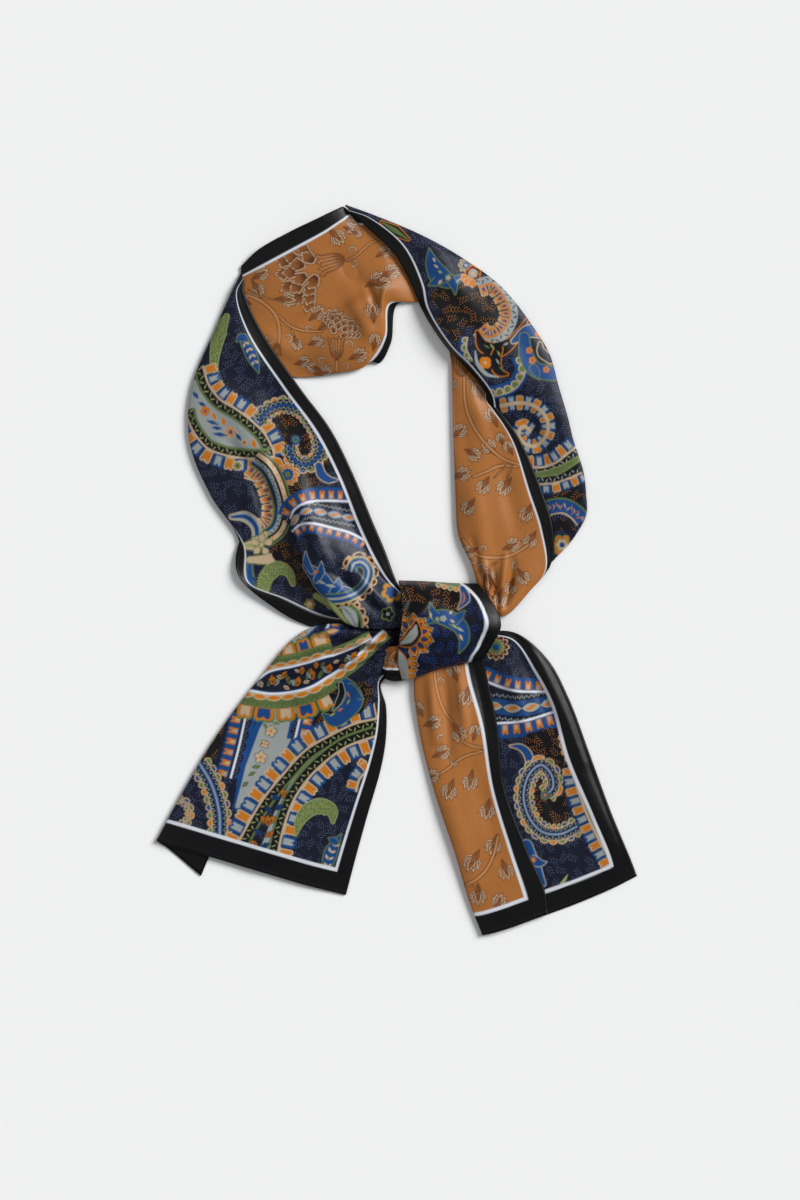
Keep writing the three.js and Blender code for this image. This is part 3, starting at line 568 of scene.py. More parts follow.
LEFT_SIDE_PRINT = [
    ("comma", (-113.1, 168.6, -117.1, 159.9, -120.4, 146.6, -121.1, 134.6, -117.1, 125.2), (3,
     8.6, 6.5, 4.2, 0.4), "olive", "olive_light", "olive_light"),
    ("leaf", (-105.1, 155.9, -99.8, 149.2, -95.8, 141.2, -91.8, 131.2), 7.5, "blue", "olive",
     None, "cream"),
    ("leaf", (-106.4, 151.9, -102.4, 154.6, -98.4, 151.9), 5, "blue", "olive", None, None),
    ("patch", (-74.4, 101.2, -64.4, 89.2, -61.1, 73.2, -69.8, 53.2, -64.4, 43.2), (16, 30, 34, 26,
     14)),
    ("stroke", (-141.8, 124.6, -123.1, 99.9, -101.8, 83.9, -81.8, 75.2), (13, 24, 21, 2), "pale"),
    ("band", (-129.1, 135.9, -124.3, 121.9, -116.4, 112.6, -107, 107, -95.8, 98.6, -87.4, 90.1,
     -82.7, 80.8, -81.4, 75.2), (("stripe", -6.8, 0, BLACK), ("dashes", -5.3, -1, 3,
     "olive_light"), ("stripe", -7, -5.4, "olive"), CREAM_EDGE, ("fringe", 1, 9.4, 7.2, TULIPS))),
    ("band", (-140.4, 106.6, -138.8, 99.2, -134.2, 90.1, -125.8, 80.8, -113.6, 76.1, -101.4, 74.2,
     -88.3, 73.9, -81.8, 75.2), (("stripe", 0, 6.2, BLACK), ("dashes", 1, 4.9, 3, "olive_light"),
     ("stripe", 4.9, 6.5, "olive"), CREAM_EDGE, ("fringe", -1, -9.4, 7.2, TULIPS))),
    ("flower", (-127.4, 105.6), 3.4, 4, ("orange", "orange", "orange", "blue"), 20),
    ("flower", (-110.4, 91.5), 4.3, 5, ("cream", "orange", "orange", "blue"), 0),
    ("flower", (-101.1, 84.6), 2.4, 4, ("cream", "orange", None, "blue"), 10),
    ("stroke", (-122.4, 104.6, -120.4, 99.9), (0.4, 3, 0.4), "orange", "cream", 0.4),
    ("stroke", (-115.8, 101.2, -114.4, 95.9), (0.4, 3, 0.4), "orange", "cream", 0.4),
    ("stroke", (-95.8, 86.6, -93.8, 80.6), (0.4, 3.4, 0.4), "orange", "cream", 0.4),
    ("leaves", "blue", (-126.4, 99.2, -118.4, 96.6, 2.6), (-123.1, 94.6, -115.8, 93.9, 2.6),
     (-122.4, 90.6, -112.4, 89.2, 2.8), (-131.8, 111.2, -127.1, 109.2, 2.6), (-107.1, 90.6, -103.1,
     85.9, 2.8), (-135.8, 118.6, -131.8, 113.9, 3)),
    ("stroke", (-85.8, 73.9, -79.8, 71.2, -74.4, 65.9), (1.5, 6.2, 0.4), "orange", "cream", 0.8),
    ("band", (-91.8, 98.6, -85.8, 105.9, -75.8, 109.9, -65.1, 107.2, -57.1, 99.2, -51.8, 88.6,
     -51.1, 77.9, -57.1, 70.6, -65.1, 70.6, -70.4, 76.6, -71.1, 83.2), (("scallops", 3, 6.2, 4.6,
     FOUR_INKS), ("scallops", -3, -6.2, 4.6, FOUR_INKS), ("stripe",
     -3.6, 3.6, BLACK), ("dashes", 0.9, 3.2, 1.7, "pale"), ("dashes", -3.2, -0.9, 1.7, "pale"),
     ("stripe", -0.8, 0.8, "blue"))),
    ("disc", (-67.1, 86.6), 3.2, ("blue", "olive", "blue")),
    ("stroke", (-51.8, 69.2, -49.8, 63.2, -45.1, 59.9, -39.1, 59.9), (4.5, 5.6, 4.4, 0.4), "blue",
     "cream", 0.6),
    ("flower", (-72.4, 63.2), 8, 11, ("cream", "orange", "blue", "olive"), 0),
    ("stroke", (-101.1, 61.2, -89.8, 57.2, -83.8, 46.6, -83.1, 33.2), (1, 2, 2, 1), "cream"),
    ("band", (-97.1, 70.6, -89.1, 63.9, -83.8, 53.2, -81.1, 41.2, -83.1, 30.6, -89.8, 25.2),
     (("stripe", 0, 11.5, BLACK), ("fringe", -0.6, -9, 6.2, HEARTS), ("stripe", -0.9, 0.2,
     "olive"), ("stripe", 0.9, 2.2, "blue"), ("stripe", 2.2, 4.8, "pale"), ("dashes", 2.6, 4.6,
     2.2, BLACK), ("stripe", 6.4, 9.4, "cream"), ("dashes", 6.4, 9.4, 4.4, "orange"), ("stripe",
     10.3, 11.5, "olive"))),
    ("flower", (-105.8, 69.2), 3.6, 6, ("cream", "olive", None, "brown"), 0),
    ("stroke", (-109.8, 35.2, -100.4, 35.2, -93.8, 29.2, -93.8, 19.9, -99.1, 14.6), (3, 6.4, 6.4,
     5, 2), "pale", "cream", 0.6, "blue"),
    ("stroke", (-101.8, 15.9, -93.8, 17.2, -87.1, 23.9), (3, 9, 3), "cream", "olive", 0.8,
     "olive_light"),
    ("petals", (-89.8, 16.6), 2.5, (20, 90, 160, 230, 300), 5, 4.2, "cream", "olive"),
    ("stroke", (-97.8, 6.6, -85.8, 7.2, -73.8, 11.9), (4, 6.5, 3), "cream", "olive", 0.6),
    ("patch", (-76.4, 11.9, -64.4, -1.4, -53.8, -13.4), (14, 18, 6)),
    ("comma", (-89.1, -18.8, -87.1, -5.4, -79.1, 1.2, -71.8, -2.1, -69.1, -9.4), (5, 8, 9.6, 6,
     2.4), "olive", "olive_light", "olive_light"),
    ("stroke", (-97.8, 2.6, -97.1, -9.4, -92.4, -17.4), (3, 5, 2), "blue", "olive", 0.6),
    ("flower", (-57.8, -22.8), 4, 6, ("olive", "orange", "cream", None), 0),
    ("band", (-70.4, 29.2, -63.8, 37.2, -55.8, 39.2, -48.4, 37.9, -39.1, 36.1, -27.1, 33.9),
     (("stripe", -8, 7.2, "ground"), ("dashes", 3.6, 5.6, 1.5, "pale"), ("dashes", -5.6, -3.6, 1.5,
     "pale"), ("chain", -2.2, 2.2, 9.6, "pale", "blue", "orange"))),
    ("band", (-70.8, 33.9, -68.4, 39.2, -63.1, 43.2, -55.8, 45.4, -46.4, 45.9, -29.8, 45.4),
     (("stripe", 0, 9, "blue"), ("fringe", 0.8, 8, 5.9, WINDOWS), WHITE_EDGE)),
    ("band", (-69.8, 25.2, -63.8, 29.9, -55.4, 30.6, -43.2, 27.9, -31, 24.6, -20.4, 19.2),
     (("stripe", -6.6, 0, "blue"), ("fringe", -0.8, -5.8, 6.2, WINDOWS), WHITE_EDGE)),
    ("stroke", (-60.4, 2.6, -52.4, -4.8, -44.4, -13.4, -29.8, -13.4), (4, 11, 11, 1), "blue",
     "pale", 0.6),
    ("stroke", (-60.4, 11.9, -59.8, 5.2, -56.4, -1.4), (0.4, 4.2, 3), "blue", "pale", 0.5),
    ("stroke", (-49.8, 5.2, -50.4, -1.4, -53.1, -6.8), (0.4, 5, 4), "blue", "pale", 0.5),
    ("stroke", (-38.4, -5.4, -39.1, -10.8, -42.4, -14.8), (0.4, 6, 4), "blue", "pale", 0.5),
    ("stroke", (-55.1, -2.1, -51.8, -0.8), (0.6, 2.6, 0.4), "orange"),
    ("stroke", (-52.4, -7.4, -47.1, -9.4), (0.6, 2, 0.4), "pale"),
    ("stroke", (-47.1, -10.1, -40.4, -11.4), (0.6, 2.4, 0.4), "pale"),
    ("band", (-47.1, -19.4, -36.4, -18.8, -26.4, -14.8, -20.4, -8.1, -18.8, -0.1, -23.1, 4.9,
     -28.1, 3.9, -30.1, -1.4), (("stripe", -3.6, 3.6, "olive"), ("stripe", -2.6, 2.6, "blue"),
     ("stripe", -0.9, 0.7, "pale"), ("scallops", -3.2, -7, 5, ("orange", "brown"), "cream",
     BLACK))),
    ("band", (-29.8, -23.4, -25.8, -27.4, -23.1, -33.4, -23.8, -42.1), (("scallops", 0.6, 4.6, 5,
     ("orange", "brown"), "cream", BLACK), ("stripe", -0.8, 0.8, "olive"))),
    ("leaf", (-37.1, -24.1, -31.1, -29.4, -26.4, -38.8), 8, "pale", "olive", BLACK, None),
    ("stroke", (-53.8, -17.4, -41.8, -25.4, -31.8, -37.4), (3.5, 3.4, 1), "olive_light", "olive",
     0.6),
    ("flower", (-3.1, -14.8), 7.5, 6, ("olive", "orange", "blue", "blue"), 15),
    ("flower", (-5.8, -29.4), 5, 5, ("olive", BLACK, None, "pale"), 0),
]

LEFT_TAIL_SECTIONS = [
    [2.2, -65.4, 3.4, 2.9, -60.8, 5.6, 3.6, -56.8, 6.8, 3.9, -52.8, 7, 3.6, -45.4, 6.8,
     2.9, -39.4, 5.4, 2.9, -42.8, 3.6, 2.2, -51.4, 2.9],
    [-10.4, -76.1, 2, -13.1, -66.8, 5.4, -15.1, -60.1, 7.6, -16.4, -55.4, 8.4, -17.8, -47.4, 8.2,
     -19.8, -39.8, 5.6, -19.1, -43.4, 3.6, -18.1, -53.4, 2.8],
    [-7.1, -90.8, 0.9, -20.4, -82.1, 4.4, -29.8, -68.1, 6.6, -35.1, -55.4, 7.4, -38.4, -45.4, 6.8,
     -41.1, -36.1, 4.6, -39.1, -40.8, 3.2, -36.8, -47.4, 2.6],
    [-7.1, -112.1, 0.8, -24.4, -98.1, 3.2, -41.1, -80.1, 4.6, -52.4, -61.4, 5.4,
     -58.4, -48.8, 5.2, -62.4, -41.4, 3.4, -59.8, -44.1, 1.4, -52.4, -54.8, 0.9],
    [-10.4, -132.1, 0.8, -31.1, -116.8, 2.8, -53.1, -98.8, 3.6, -73.1, -84.8, 4.2,
     -85.8, -76.1, 4.2, -91.8, -73.4, 2.6, -88.8, -75.8, 0.8, -75.1, -85.4, 0.6],
    [-19.8, -164.8, 0.8, -44.4, -152.8, 2.6, -71.1, -139.4, 3.2, -97.8, -126.1, 3.6,
     -114.4, -117.4, 3.6, -121.8, -114.1, 2.4, -117.8, -116.4, 0.7, -97.8, -126.8, 0.6],
    [-28.4, -196.1, 0.8, -56.4, -186.8, 2.4, -85.8, -176.8, 2.8, -116.4, -165.4, 3.2,
     -137.8, -157.4, 3.4, -145.8, -154.8, 2.3, -140.4, -157.8, 0.7, -116.4, -170.8, 0.6],
    [-33.8, -216.8, 0.8, -63.1, -209.4, 2.2, -94.4, -200.1, 2.6, -127.8, -190.1, 3,
     -152.4, -182.4, 3.2, -159.8, -180.8, 2.2, -154.1, -184.4, 0.7, -130.4, -204.1, 0.6],
]
LEFT_TAIL_CREASES = [
    ((-64.4, -52.1), (-3.1, -46.8), 3.6, 3.2), ((-52.4, -46.8), (-5.8, -42.8), 2.6, -2.3),
    ((-45.8, -57.4), (-3.1, -53.4), 3, -2.9), ((-64.4, -86.8), (-8.4, -61.4), 5, 2.2),
    ((-84.4, -60.1), (-44.4, -53.4), 4.5, 2), ((-89.8, -80.1), (-37.8, -65.4), 5, -2.2),
    ((-64.4, -126.8), (-16.4, -86.8), 8, 1.9), ((-104.4, -126.8), (-64.4, -100.1), 9, -1.7),
    ((-124.4, -153.4), (-97.8, -113.4), 8, 1.7), ((-64.4, -180.1), (-29.8, -126.8), 10, -1.6),
    ((-97.8, -200.1), (-71.1, -153.4), 9, 1.4), ((-34.4, -86.8), (-19.1, -60.1), 4, -2),
]
LEFT_TAIL_PRINT = [
    ("patch", (-127.8, -125.4, -116.4, -105.4, -107.1, -90.8), (10, 18, 14)),
    ("patch", (-64.4, -105.4, -52.4, -96.1, -31.1, -97.4), (6, 16, 12)),
    ("stroke", (-69.8, -86.8, -81.1, -110.1, -92.4, -133.4, -105.8, -157.4), (26, 30, 25, 6),
     "blue"),
    ("stroke", (-69.8, -86.8, -81.1, -110.1, -92.4, -133.4, -105.8, -157.4), (19, 22, 17, 3),
     "pale"),
    ("flower", (-83.8, -107.4), 4.4, 5, (BLACK, "cream", None, "orange"), 0, 0.4, 0.4),
    ("flower", (-87.8, -116.1), 3.2, 4, (BLACK, "cream", None, "orange"), 30, 0.4, 0.4),
    ("flower", (-90.4, -124.8), 4.6, 5, (BLACK, "cream", None, "orange"), 12, 0.4, 0.4),
    ("leaves", "olive", (-89.1, -101.4, -85.8, -106.1, 2.4), (-82.4, -101.4, -77.8, -102.8, 2)),
    ("stroke", (-95.8, -131.4, -91.1, -130.8), (0.4, 2.8, 0.4), "olive", BLACK, 0.3),
    ("stroke", (-98.4, -136.8, -94.4, -134.8), (0.4, 2.4, 0.4), "olive", BLACK, 0.3),
    ("stroke", (-102.4, -144.1, -99.1, -141.4), (0.4, 2.4, 0.4), "olive", BLACK, 0.3),
    ("band", (-100.4, -97.4, -105.1, -118.8, -110.4, -138.8), (("stripe", -12.5, -0.8, "ground"),
     ("fringe", -2.4, -10.4, 7.4, WINDOWS), WHITE_EDGE, ("stripe", 0.8, 6.6, "ground"), ("dashes",
     1.2, 3.6, 2, "fern_grey"), ("wave", 6.6, 3.4, 8, "blue"))),
    ("band", (-63.8, -96.1, -67.8, -113.4), (("stripe", -5.4, -0.6, "ground"), ("dashes", -3.4,
     -1, 2, "fern_grey"), ("wave", -5.6, -3, 8, "blue"), ("fringe", 2.2, 9.4, 7.6, WINDOWS),
     ("stripe", -0.7, 0.7, "white_line"))),
    ("band", (-131.8, -128.1, -123.1, -142.8, -118.1, -161.4, -117.8, -181.4), (("stripe", -5, 5,
     BLACK), ("dashes", 2.2, 4.8, 1.9, "pale"), ("dashes", -4.8, -2.2, 1.9, "pale"), ("stripe",
     -1.9, 1.9, "blue"), ("stripe", -0.6, 0.6, "pale"), ("scallops", 4.6, 8.2, 5.8, FOUR_INKS),
     ("scallops", -4.6, -8.6, 5.8, FOUR_INKS))),
    ("band", (-147.1, -152.1, -140.4, -155.4, -137.8, -161.4, -140.4, -168.1, -147.1, -170.8),
     (("scallops", 0.2, 3.6, 4.6, FOUR_INKS), ("scallops", -0.2, -3.4, 4.4,
     FOUR_INKS))),
    ("stroke", (-16.4, -105.4, -37.8, -114.1, -56.4, -129.4, -71.1, -153.4, -84.4, -186.8), (1,
     3.5, 9, 12, 13), "pale"),
    ("band", (-107.1, -184.8, -99.2, -169.7, -89.3, -153.1, -76, -136.5, -60.6, -120, -44, -110,
     -27.4, -102.2, -12.4, -98.8), (("stripe", -5.9, 0, BLACK), ("dashes", -5, -1.2, 3.1,
     "olive_light"), ("stripe", -7.3, -5.9, "olive"), ("stripe", -0.8, 0.8, "cream"), ("fringe", 1,
     10.8, 8.2, TULIPS))),
    ("band", (-79.8, -192.1, -74.9, -170.8, -68.3, -153.1, -59.4, -139.8, -47.3, -127.7,
     -32.9, -117.7, -13.8, -110.8), (("stripe", 0, 5.9, BLACK), ("dashes", 1.2, 5, 3.1,
     "olive_light"), ("stripe", 5.9, 7.3, "olive"), ("stripe", -0.8, 0.8, "cream"), ("fringe", -1,
     -10.4, 8.2, TULIPS))),
    ("blades", (-75.1, -151.4, 96, 6.2, 3.4, "orange"), (-78.4, -152.8, 150, 5.6, 3, "blue"),
     (-80.4, -159.4, 30, 6.2, 3, "blue"), (-83.1, -160.8, 150, 5.4, 2.8, "blue"), (-86.4, -168.8,
     128, 6.4, 4, "orange"), (-85.1, -168.8, 48, 6.4, 4, "orange"), (-85.8, -170.1, 88, 7, 3.8,
     "orange"), (-90.4, -176.1, 140, 5.4, 3, "blue"), (-87.1, -177.4, 30, 6.2, 3.2, "orange"),
     (-93.1, -183.4, 140, 5, 3, "orange"), (-89.8, -184.8, 30, 5.6, 3, "blue")),
    ("comma", (-67.1, -176.8, -64.8, -168.1, -59.1, -160.4, -50.4, -157.4, -43.1, -161.4,
     -42.4, -168.1), (0.6, 5.5, 8.5, 9.6, 9, 1.5), "olive", "olive_light", "olive_light"),
    ("leaf", (-47.1, -204.8, -44.4, -190.1, -37.1, -176.1), 8.5, "blue", "olive", None, "cream"),
    ("stroke", (-45.1, -178.8, -40.4, -181.4), (0.4, 4.5, 3), "blue", "olive", 0.7),
    ("flower", (-23.1, -128.8), 3.4, 4, ("cream", "orange", None, None), 10),
    ("band", (-16.4, -132.1, -24.4, -138.8, -27.1, -148.1), (("fringe", -0.8, -7.4, 6.4, TULIPS),
     ("stripe", -0.8, 0.8, "cream"))),
    ("patch", (-39.1, -80.1, -29.8, -86.8, -23.1, -81.4), (12, 22, 14)),
    ("stroke", (-37.1, -70.8, -30.4, -78.8, -28.4, -86.8, -34.4, -94.8, -42.4, -100.1,
     -49.1, -96.1), (1, 7.4, 11.6, 10.5, 8.6, 1), "blue", "olive", 0.8),
    ("stroke", (-31.1, -78.8, -26.4, -83.4, -22.4, -85.8), (5.6, 5.4, 0.3), "blue", "olive", 0.8),
    ("stroke", (-35.8, -73.4, -31.8, -80.1, -29.8, -87.4, -35.1, -93.4, -41.8, -98.1), (0.4, 4.6,
     8, 7, 4), "blue"),
    ("stroke", (-37.1, -76.1, -36.4, -82.1, -39.1, -88.8, -42.4, -93.4), (2.6, 4, 3.6, 0.4),
     BLACK, "pale", 0.5),
    ("leaves", "orange", (-33.1, -81.4, -31.1, -84.8, 1.4)),
    ("leaves", "olive_light", (-31.1, -86.1, -33.1, -89.4, 1.4)),
    ("leaves", "orange", (-35.8, -92.1, -39.1, -94.1, 1.5)),
    ("leaves", "olive_light", (-41.1, -95.4, -44.4, -97.4, 1.4)),
    ("stroke", (-69.8, -46.8, -62.4, -40.8, -53.8, -33.4), (6, 9.5, 8), "blue"),
    ("stroke", (-69.8, -48.1, -62.4, -42.1, -55.1, -35.4), (4, 6, 5), "pale"),
    ("flower", (-62.4, -42.8), 2.7, 5, (BLACK, "cream", None, "orange"), 0, 0.4, 0.4),
    ("leaves", "olive", (-58.4, -38.1, -55.8, -35.4, 2)),
    ("leaves", "orange", (-66.4, -44.8, -65.1, -47.4, 1.8)),
    ("band", (-43.1, -32.1, -48.7, -43.8), (("dashes", 1.6, 6.6, 2.4, "fern_grey"), ("stripe",
     -0.7, 0.7, "white_line"))),
    ("stroke", (-45.1, -41.4, -39.1, -40.1), (3.4, 4, 1), "orange", "blue", 1.2, "cream"),
    ("stroke", (-41.8, -36.1, -35.8, -35.4), (3.2, 3.8, 1), "orange", "blue", 1.2, "cream"),
    ("stroke", (-97.8, -80.1, -80.4, -74.1, -56.4, -68.1, -36.4, -61.4, -20.4, -50.8,
     -8.4, -41.4), (6, 23, 19, 13, 6, 2), "ground"),
    ("band", (-95.1, -75.4, -84.9, -67.8, -69.8, -64.4, -58.2, -61.4, -46.8, -57.8, -41.8, -56.8),
     (("fringe", 8.2, 17, 11.4, (("cream", "olive", None), ("blue", "olive", None))), ("fringe",
     8.2, 15.9, 11.4, (("cream", "orange", None), ("blue", "orange", None))), ("stripe", 3.9, 8.4,
     "olive"), ("hatch", 4, 7.2, 1.5, BLACK), ("stripe", 0.9, 4, "olive"), ("arcs", 0.9, 4.2, 8.4,
     "cream", "orange"), WHITE_EDGE, ("stripe", -1.4, -1, "blue"))),
    # Painted shadow: a black stroke along the tail's top, where the knot and the left side shade
    # it.
    ("stroke", (-39.1, -50.1, -29.8, -47.4, -12.4, -43.4, 0.9, -42.8), (2, 8, 9, 8), BLACK),
    ("band", (-42.4, -57.1, -28.7, -51.8, -16.4, -45.4), (("stripe", 2.9, 5, "olive"), ("arcs",
     0.8, 3.4, 8.4, "cream", "orange"), ("stripe", -0.6, 0.6, "white_line"))),
    ("band", (-104.4, -79.4, -95.4, -80.8, -84, -82.5, -69.8, -81.4, -59.1, -78.8, -49.8, -74.1),
     (("fringe", -9.6, -19.6, 11.8, (("cream", "olive", None), ("blue", "olive", None))),
     ("fringe", -9.6, -18.4, 11.8, (("cream", "orange", None), ("blue", "orange", None))))),
    ("band", (-46.4, -71.8, -35.4, -64.8, -26.8, -58.1, -19.2, -50.1, -8.4, -40.1), (("stripe",
     -0.9, -6.6, "olive"), ("hatch", -4.4, -6.2, 1.5, BLACK))),
    ("band", (-104.4, -79.4, -95.4, -80.8, -84, -82.5, -69.8, -81.4, -56.4, -77.7, -44.4, -70.4),
     (("stripe", -0.9, -9.9, "olive"), ("hatch", -5.2, -9.4, 1.5, BLACK))),
    ("band", (-104.4, -79.4, -95.4, -80.8, -84, -82.5, -69.8, -81.4, -56.4, -77.7, -45.8, -71.4,
     -35.4, -64.8, -26.8, -58.1, -19.2, -50.1, -8.4, -40.1), (("arcs", -0.9, -5, 9.2, "cream",
     "orange"), ("stripe", -0.8, 0.8, "white_line"), ("stripe", 1.1, 1.5, "blue"))),
    ("blades", (-85.8, -77.4, 60, 6, 3, "olive"), (-89.8, -78.1, 100, 4.6, 2.6, "cream"), (-92.1,
     -77.4, 80, 3.4, 2.2, "pale"), (-79.8, -76.1, 150, 6.4, 4.2, "pale"), (-81.1, -76.8, 60, 5.6,
     3.6, "pale"), (-82.1, -76.1, 100, 6.2, 4.4, "orange"), (-75.8, -72.1, 160, 4.4, 3, "cream"),
     (-75.8, -71.8, 60, 5, 3.4, "orange"), (-75.1, -77.4, -30, 4.6, 2.6, "cream"), (-71.1, -76.1,
     110, 7, 3, "olive"), (-65.1, -76.8, 150, 6.6, 4.4, "pale"), (-66.4, -77.1, 75, 6.4, 4.2,
     "orange"), (-61.8, -75.1, 20, 4.2, 2.8, "cream"), (-63.1, -69.4, 85, 5.2, 3.4, "orange"),
     (-64.8, -68.1, 150, 3.6, 2.2, "cream"), (-59.8, -72.8, 75, 7.4, 2.6, "olive"), (-55.8, -72.8,
     100, 7.4, 4.6, "orange"), (-57.4, -72.1, 120, 5, 2.4, "pale"), (-53.8, -65.4, 80, 4.6, 3,
     "orange"), (-51.8, -72.1, 65, 6.4, 2.6, "olive"), (-50.4, -65.4, 60, 5, 2.2, "olive"), (-43.8,
     -68.1, 150, 7, 4.4, "pale"), (-45.1, -67.8, 80, 5.6, 4.6, "orange"), (-41.8, -61.8, 25, 4.2,
     2.4, "cream"), (-37.8, -65.4, 40, 4.4, 2.8, "orange"), (-34.4, -61.4, 60, 5.4, 2.6, "olive"),
     (-29.8, -60.1, 130, 4.8, 3, "pale"), (-29.4, -59.1, 60, 5.4, 4, "orange"), (-24.4, -53.4, 50,
     5, 2.4, "olive"), (-20.4, -50.1, 40, 4, 2, "cream")),
]

COLLAR_SECTIONS = [
    [-103.4, 202.6, 1, -103.8, 195.2, 0.8, -102.4, 181.2, 0.7, -98.4, 166.6, 0.6,
     -92.4, 152.6, 0.6, -86.4, 141.2, 0.6, -77.8, 129.2, 0.8, -73.1, 132.6, 0.6,
     -70.4, 135.9, 0.6],
    [-92.4, 212.9, 4, -89.8, 201.9, 4.6, -85.8, 185.2, 2.6, -79.8, 167.9, 1.2, -73.1, 151.2, 0.9,
     -67.1, 139.2, 1.1, -60.4, 128.6, 1.1, -61.1, 132.6, 0.6, -62.4, 138.6, 0.6],
    [-71.1, 224.9, 5.4, -67.8, 213.6, 5.6, -63.1, 196.6, 2.8, -57.1, 178.6, 1.4,
     -50.4, 159.9, 3.6, -45.1, 143.9, 7, -41.8, 130.9, 3, -42.8, 135.2, 0.9, -48.1, 154.6, 0.6],
    [-51.8, 234.2, 5.6, -47.8, 224.6, 5.6, -43.8, 207.9, 2.8, -38.4, 190.6, 1.4,
     -31.8, 170.6, 4.2, -25.8, 150.6, 8.6, -22.4, 135.2, 3.4, -23.8, 139.2, 0.9,
     -29.1, 165.2, 0.6],
    [-45.1, 237.6, 4.6, -41.1, 229.2, 4.8, -35.8, 213.2, 2.6, -29.8, 196.6, 1.4,
     -23.1, 175.9, 5.2, -18.8, 157.9, 9.4, -15.1, 143.2, 4.6, -13.4, 139.2, 2.4, -12.4, 137.6, 1],
    [-39.8, 240.2, 3, -35.4, 233.2, 3.2, -29.1, 219.2, 2.4, -21.8, 203.9, 1.4, -15.1, 183.9, 6.2,
     -11.8, 167.9, 9.6, -8.4, 155.9, 6.4, -5.8, 153.2, 3.6, -4.1, 150.6, 1.4],
    [-35.4, 241.9, 1, -31.1, 235.9, 1, -21.8, 224.6, 1, -11.8, 211.9, 1.1, -6.4, 197.2, 4.4,
     -7.1, 185.2, 8.4, -5.8, 177.2, 5.6, -2.4, 176.6, 3.4, -0.4, 175.9, 1.4],
    [-31.1, 238.2, 1, -24.4, 230.2, 0.8, -13.8, 219.2, 0.7, -3.1, 209.2, 0.7, 4.9, 198.6, 1,
     9.6, 188.6, 1.6, 12.9, 178.6, 1.8, 12.9, 180.2, 0.8, 10.9, 182.6, 0.6],
    [-29.1, 237.9, 0.8, -19.8, 231.9, 0.7, -5.1, 223.2, 0.6, 6.9, 213.9, 0.6, 16.2, 202.6, 0.6,
     22.2, 191.9, 0.6, 26.9, 181.9, 0.8, 24.9, 178.6, 0.6, 22.9, 175.9, 0.6],
]
COLLAR_CREASES = [
    ((-89.8, 179.9), (-44.4, 205.2), 9, 1.9), ((-64.4, 159.9), (-16.4, 182.6), 7, -2.6),
    ((-44.4, 166.6), (-12.4, 185.2), 5, 3.2), ((-19.1, 189.2), (-12.4, 171.9), 3, -2.6),
    ((-29.8, 179.9), (-16.4, 153.2), 5, 2), ((-44.4, 213.2), (-20.4, 187.9), 6, -1.7),
    ((-89.8, 159.9), (-64.4, 139.9), 6, 1.7),
]
COLLAR_PRINT = [
    ("stem", (-9.8, 221.2, -17.8, 217.2, -27.1, 209.2, -33.1, 205.9), 1.3),
    ("curls", (-29.8, 212.6, 2.6, 60), (-28.4, 204.6, 2.4, -70)),
    ("thistle", (-49.8, 201.2), 190, 31, 60), ("calyx", (-44.1, 204.6), 197, 19),
    ("buds", (-39.1, 221.2, -40, 7.4), (-31.1, 226.6, -20, 4), (-89.8, 197.2, 30, 6.7), (-92.4,
     185.9, -60, 6.5), (-72.4, 179.9, -5, 7.2), (-52.4, 171.2, 40, 6.9), (-29.8, 231.9, -30, 6),
     (-25.8, 223.9, -20, 4), (-7.8, 211.9, 30, 6), (-12.4, 192.6, 25, 8.3), (-3.1, 198.6, 30, 7.4),
     (-8.4, 190.6, 10, 6)),
    ("stem", (-101.8, 183.9, -89.8, 178.6, -80.4, 169.2, -77.8, 157.2, -78.4, 150.6), 1.9),
    ("stem", (-78.4, 169.2, -71.1, 162.6, -61.8, 159.2, -49.8, 158.6), 1.5),
    ("stem", (-71.1, 161.2, -67.1, 153.2), 1),
    ("stem", (-76.4, 178.6, -89.8, 181.9, -99.1, 186.6), 0.7),
    ("curls", (-83.8, 153.2, 2.8, 200), (-72.4, 154.6, 2.8, -20), (-59.1, 160.6, 1.8, 80)),
    ("buds", (-66.4, 149.9, -70, 5.4), (-102.4, 179.9, 150, 5.6), (-42.4, 166.6, 35, 10.5)),
    ("thistle", (-40.4, 153.9), 62, 17, 54), ("calyx", (-40, 147.6), 92, 15),
    ("curls", (-48.4, 149.9, 2.4, 150), (-31.8, 149.9, 2.4, 30)),
    ("buds", (-53.1, 151.9, 20, 5.4), (-24.4, 142.6, 20, 6.9), (-14.4, 152.6, 80, 6), (-15.8,
     171.9, 95, 7.4), (-61.8, 138.6, 15, 5.6), (-47.8, 131.2, 5, 6.5), (-56.4, 134.6, 170, 4.9)),
    ("curls", (-49.8, 138.6, 2.4, 100)), ("stem", (-39.8, 131.9, -39.8, 138.6), 1.9),
    ("curls", (-44.4, 134.6, 2.4, 200), (-34.4, 135.9, 2.4, -10)),
    ("calyx", (-79.8, 146.6), 265, 8),
]

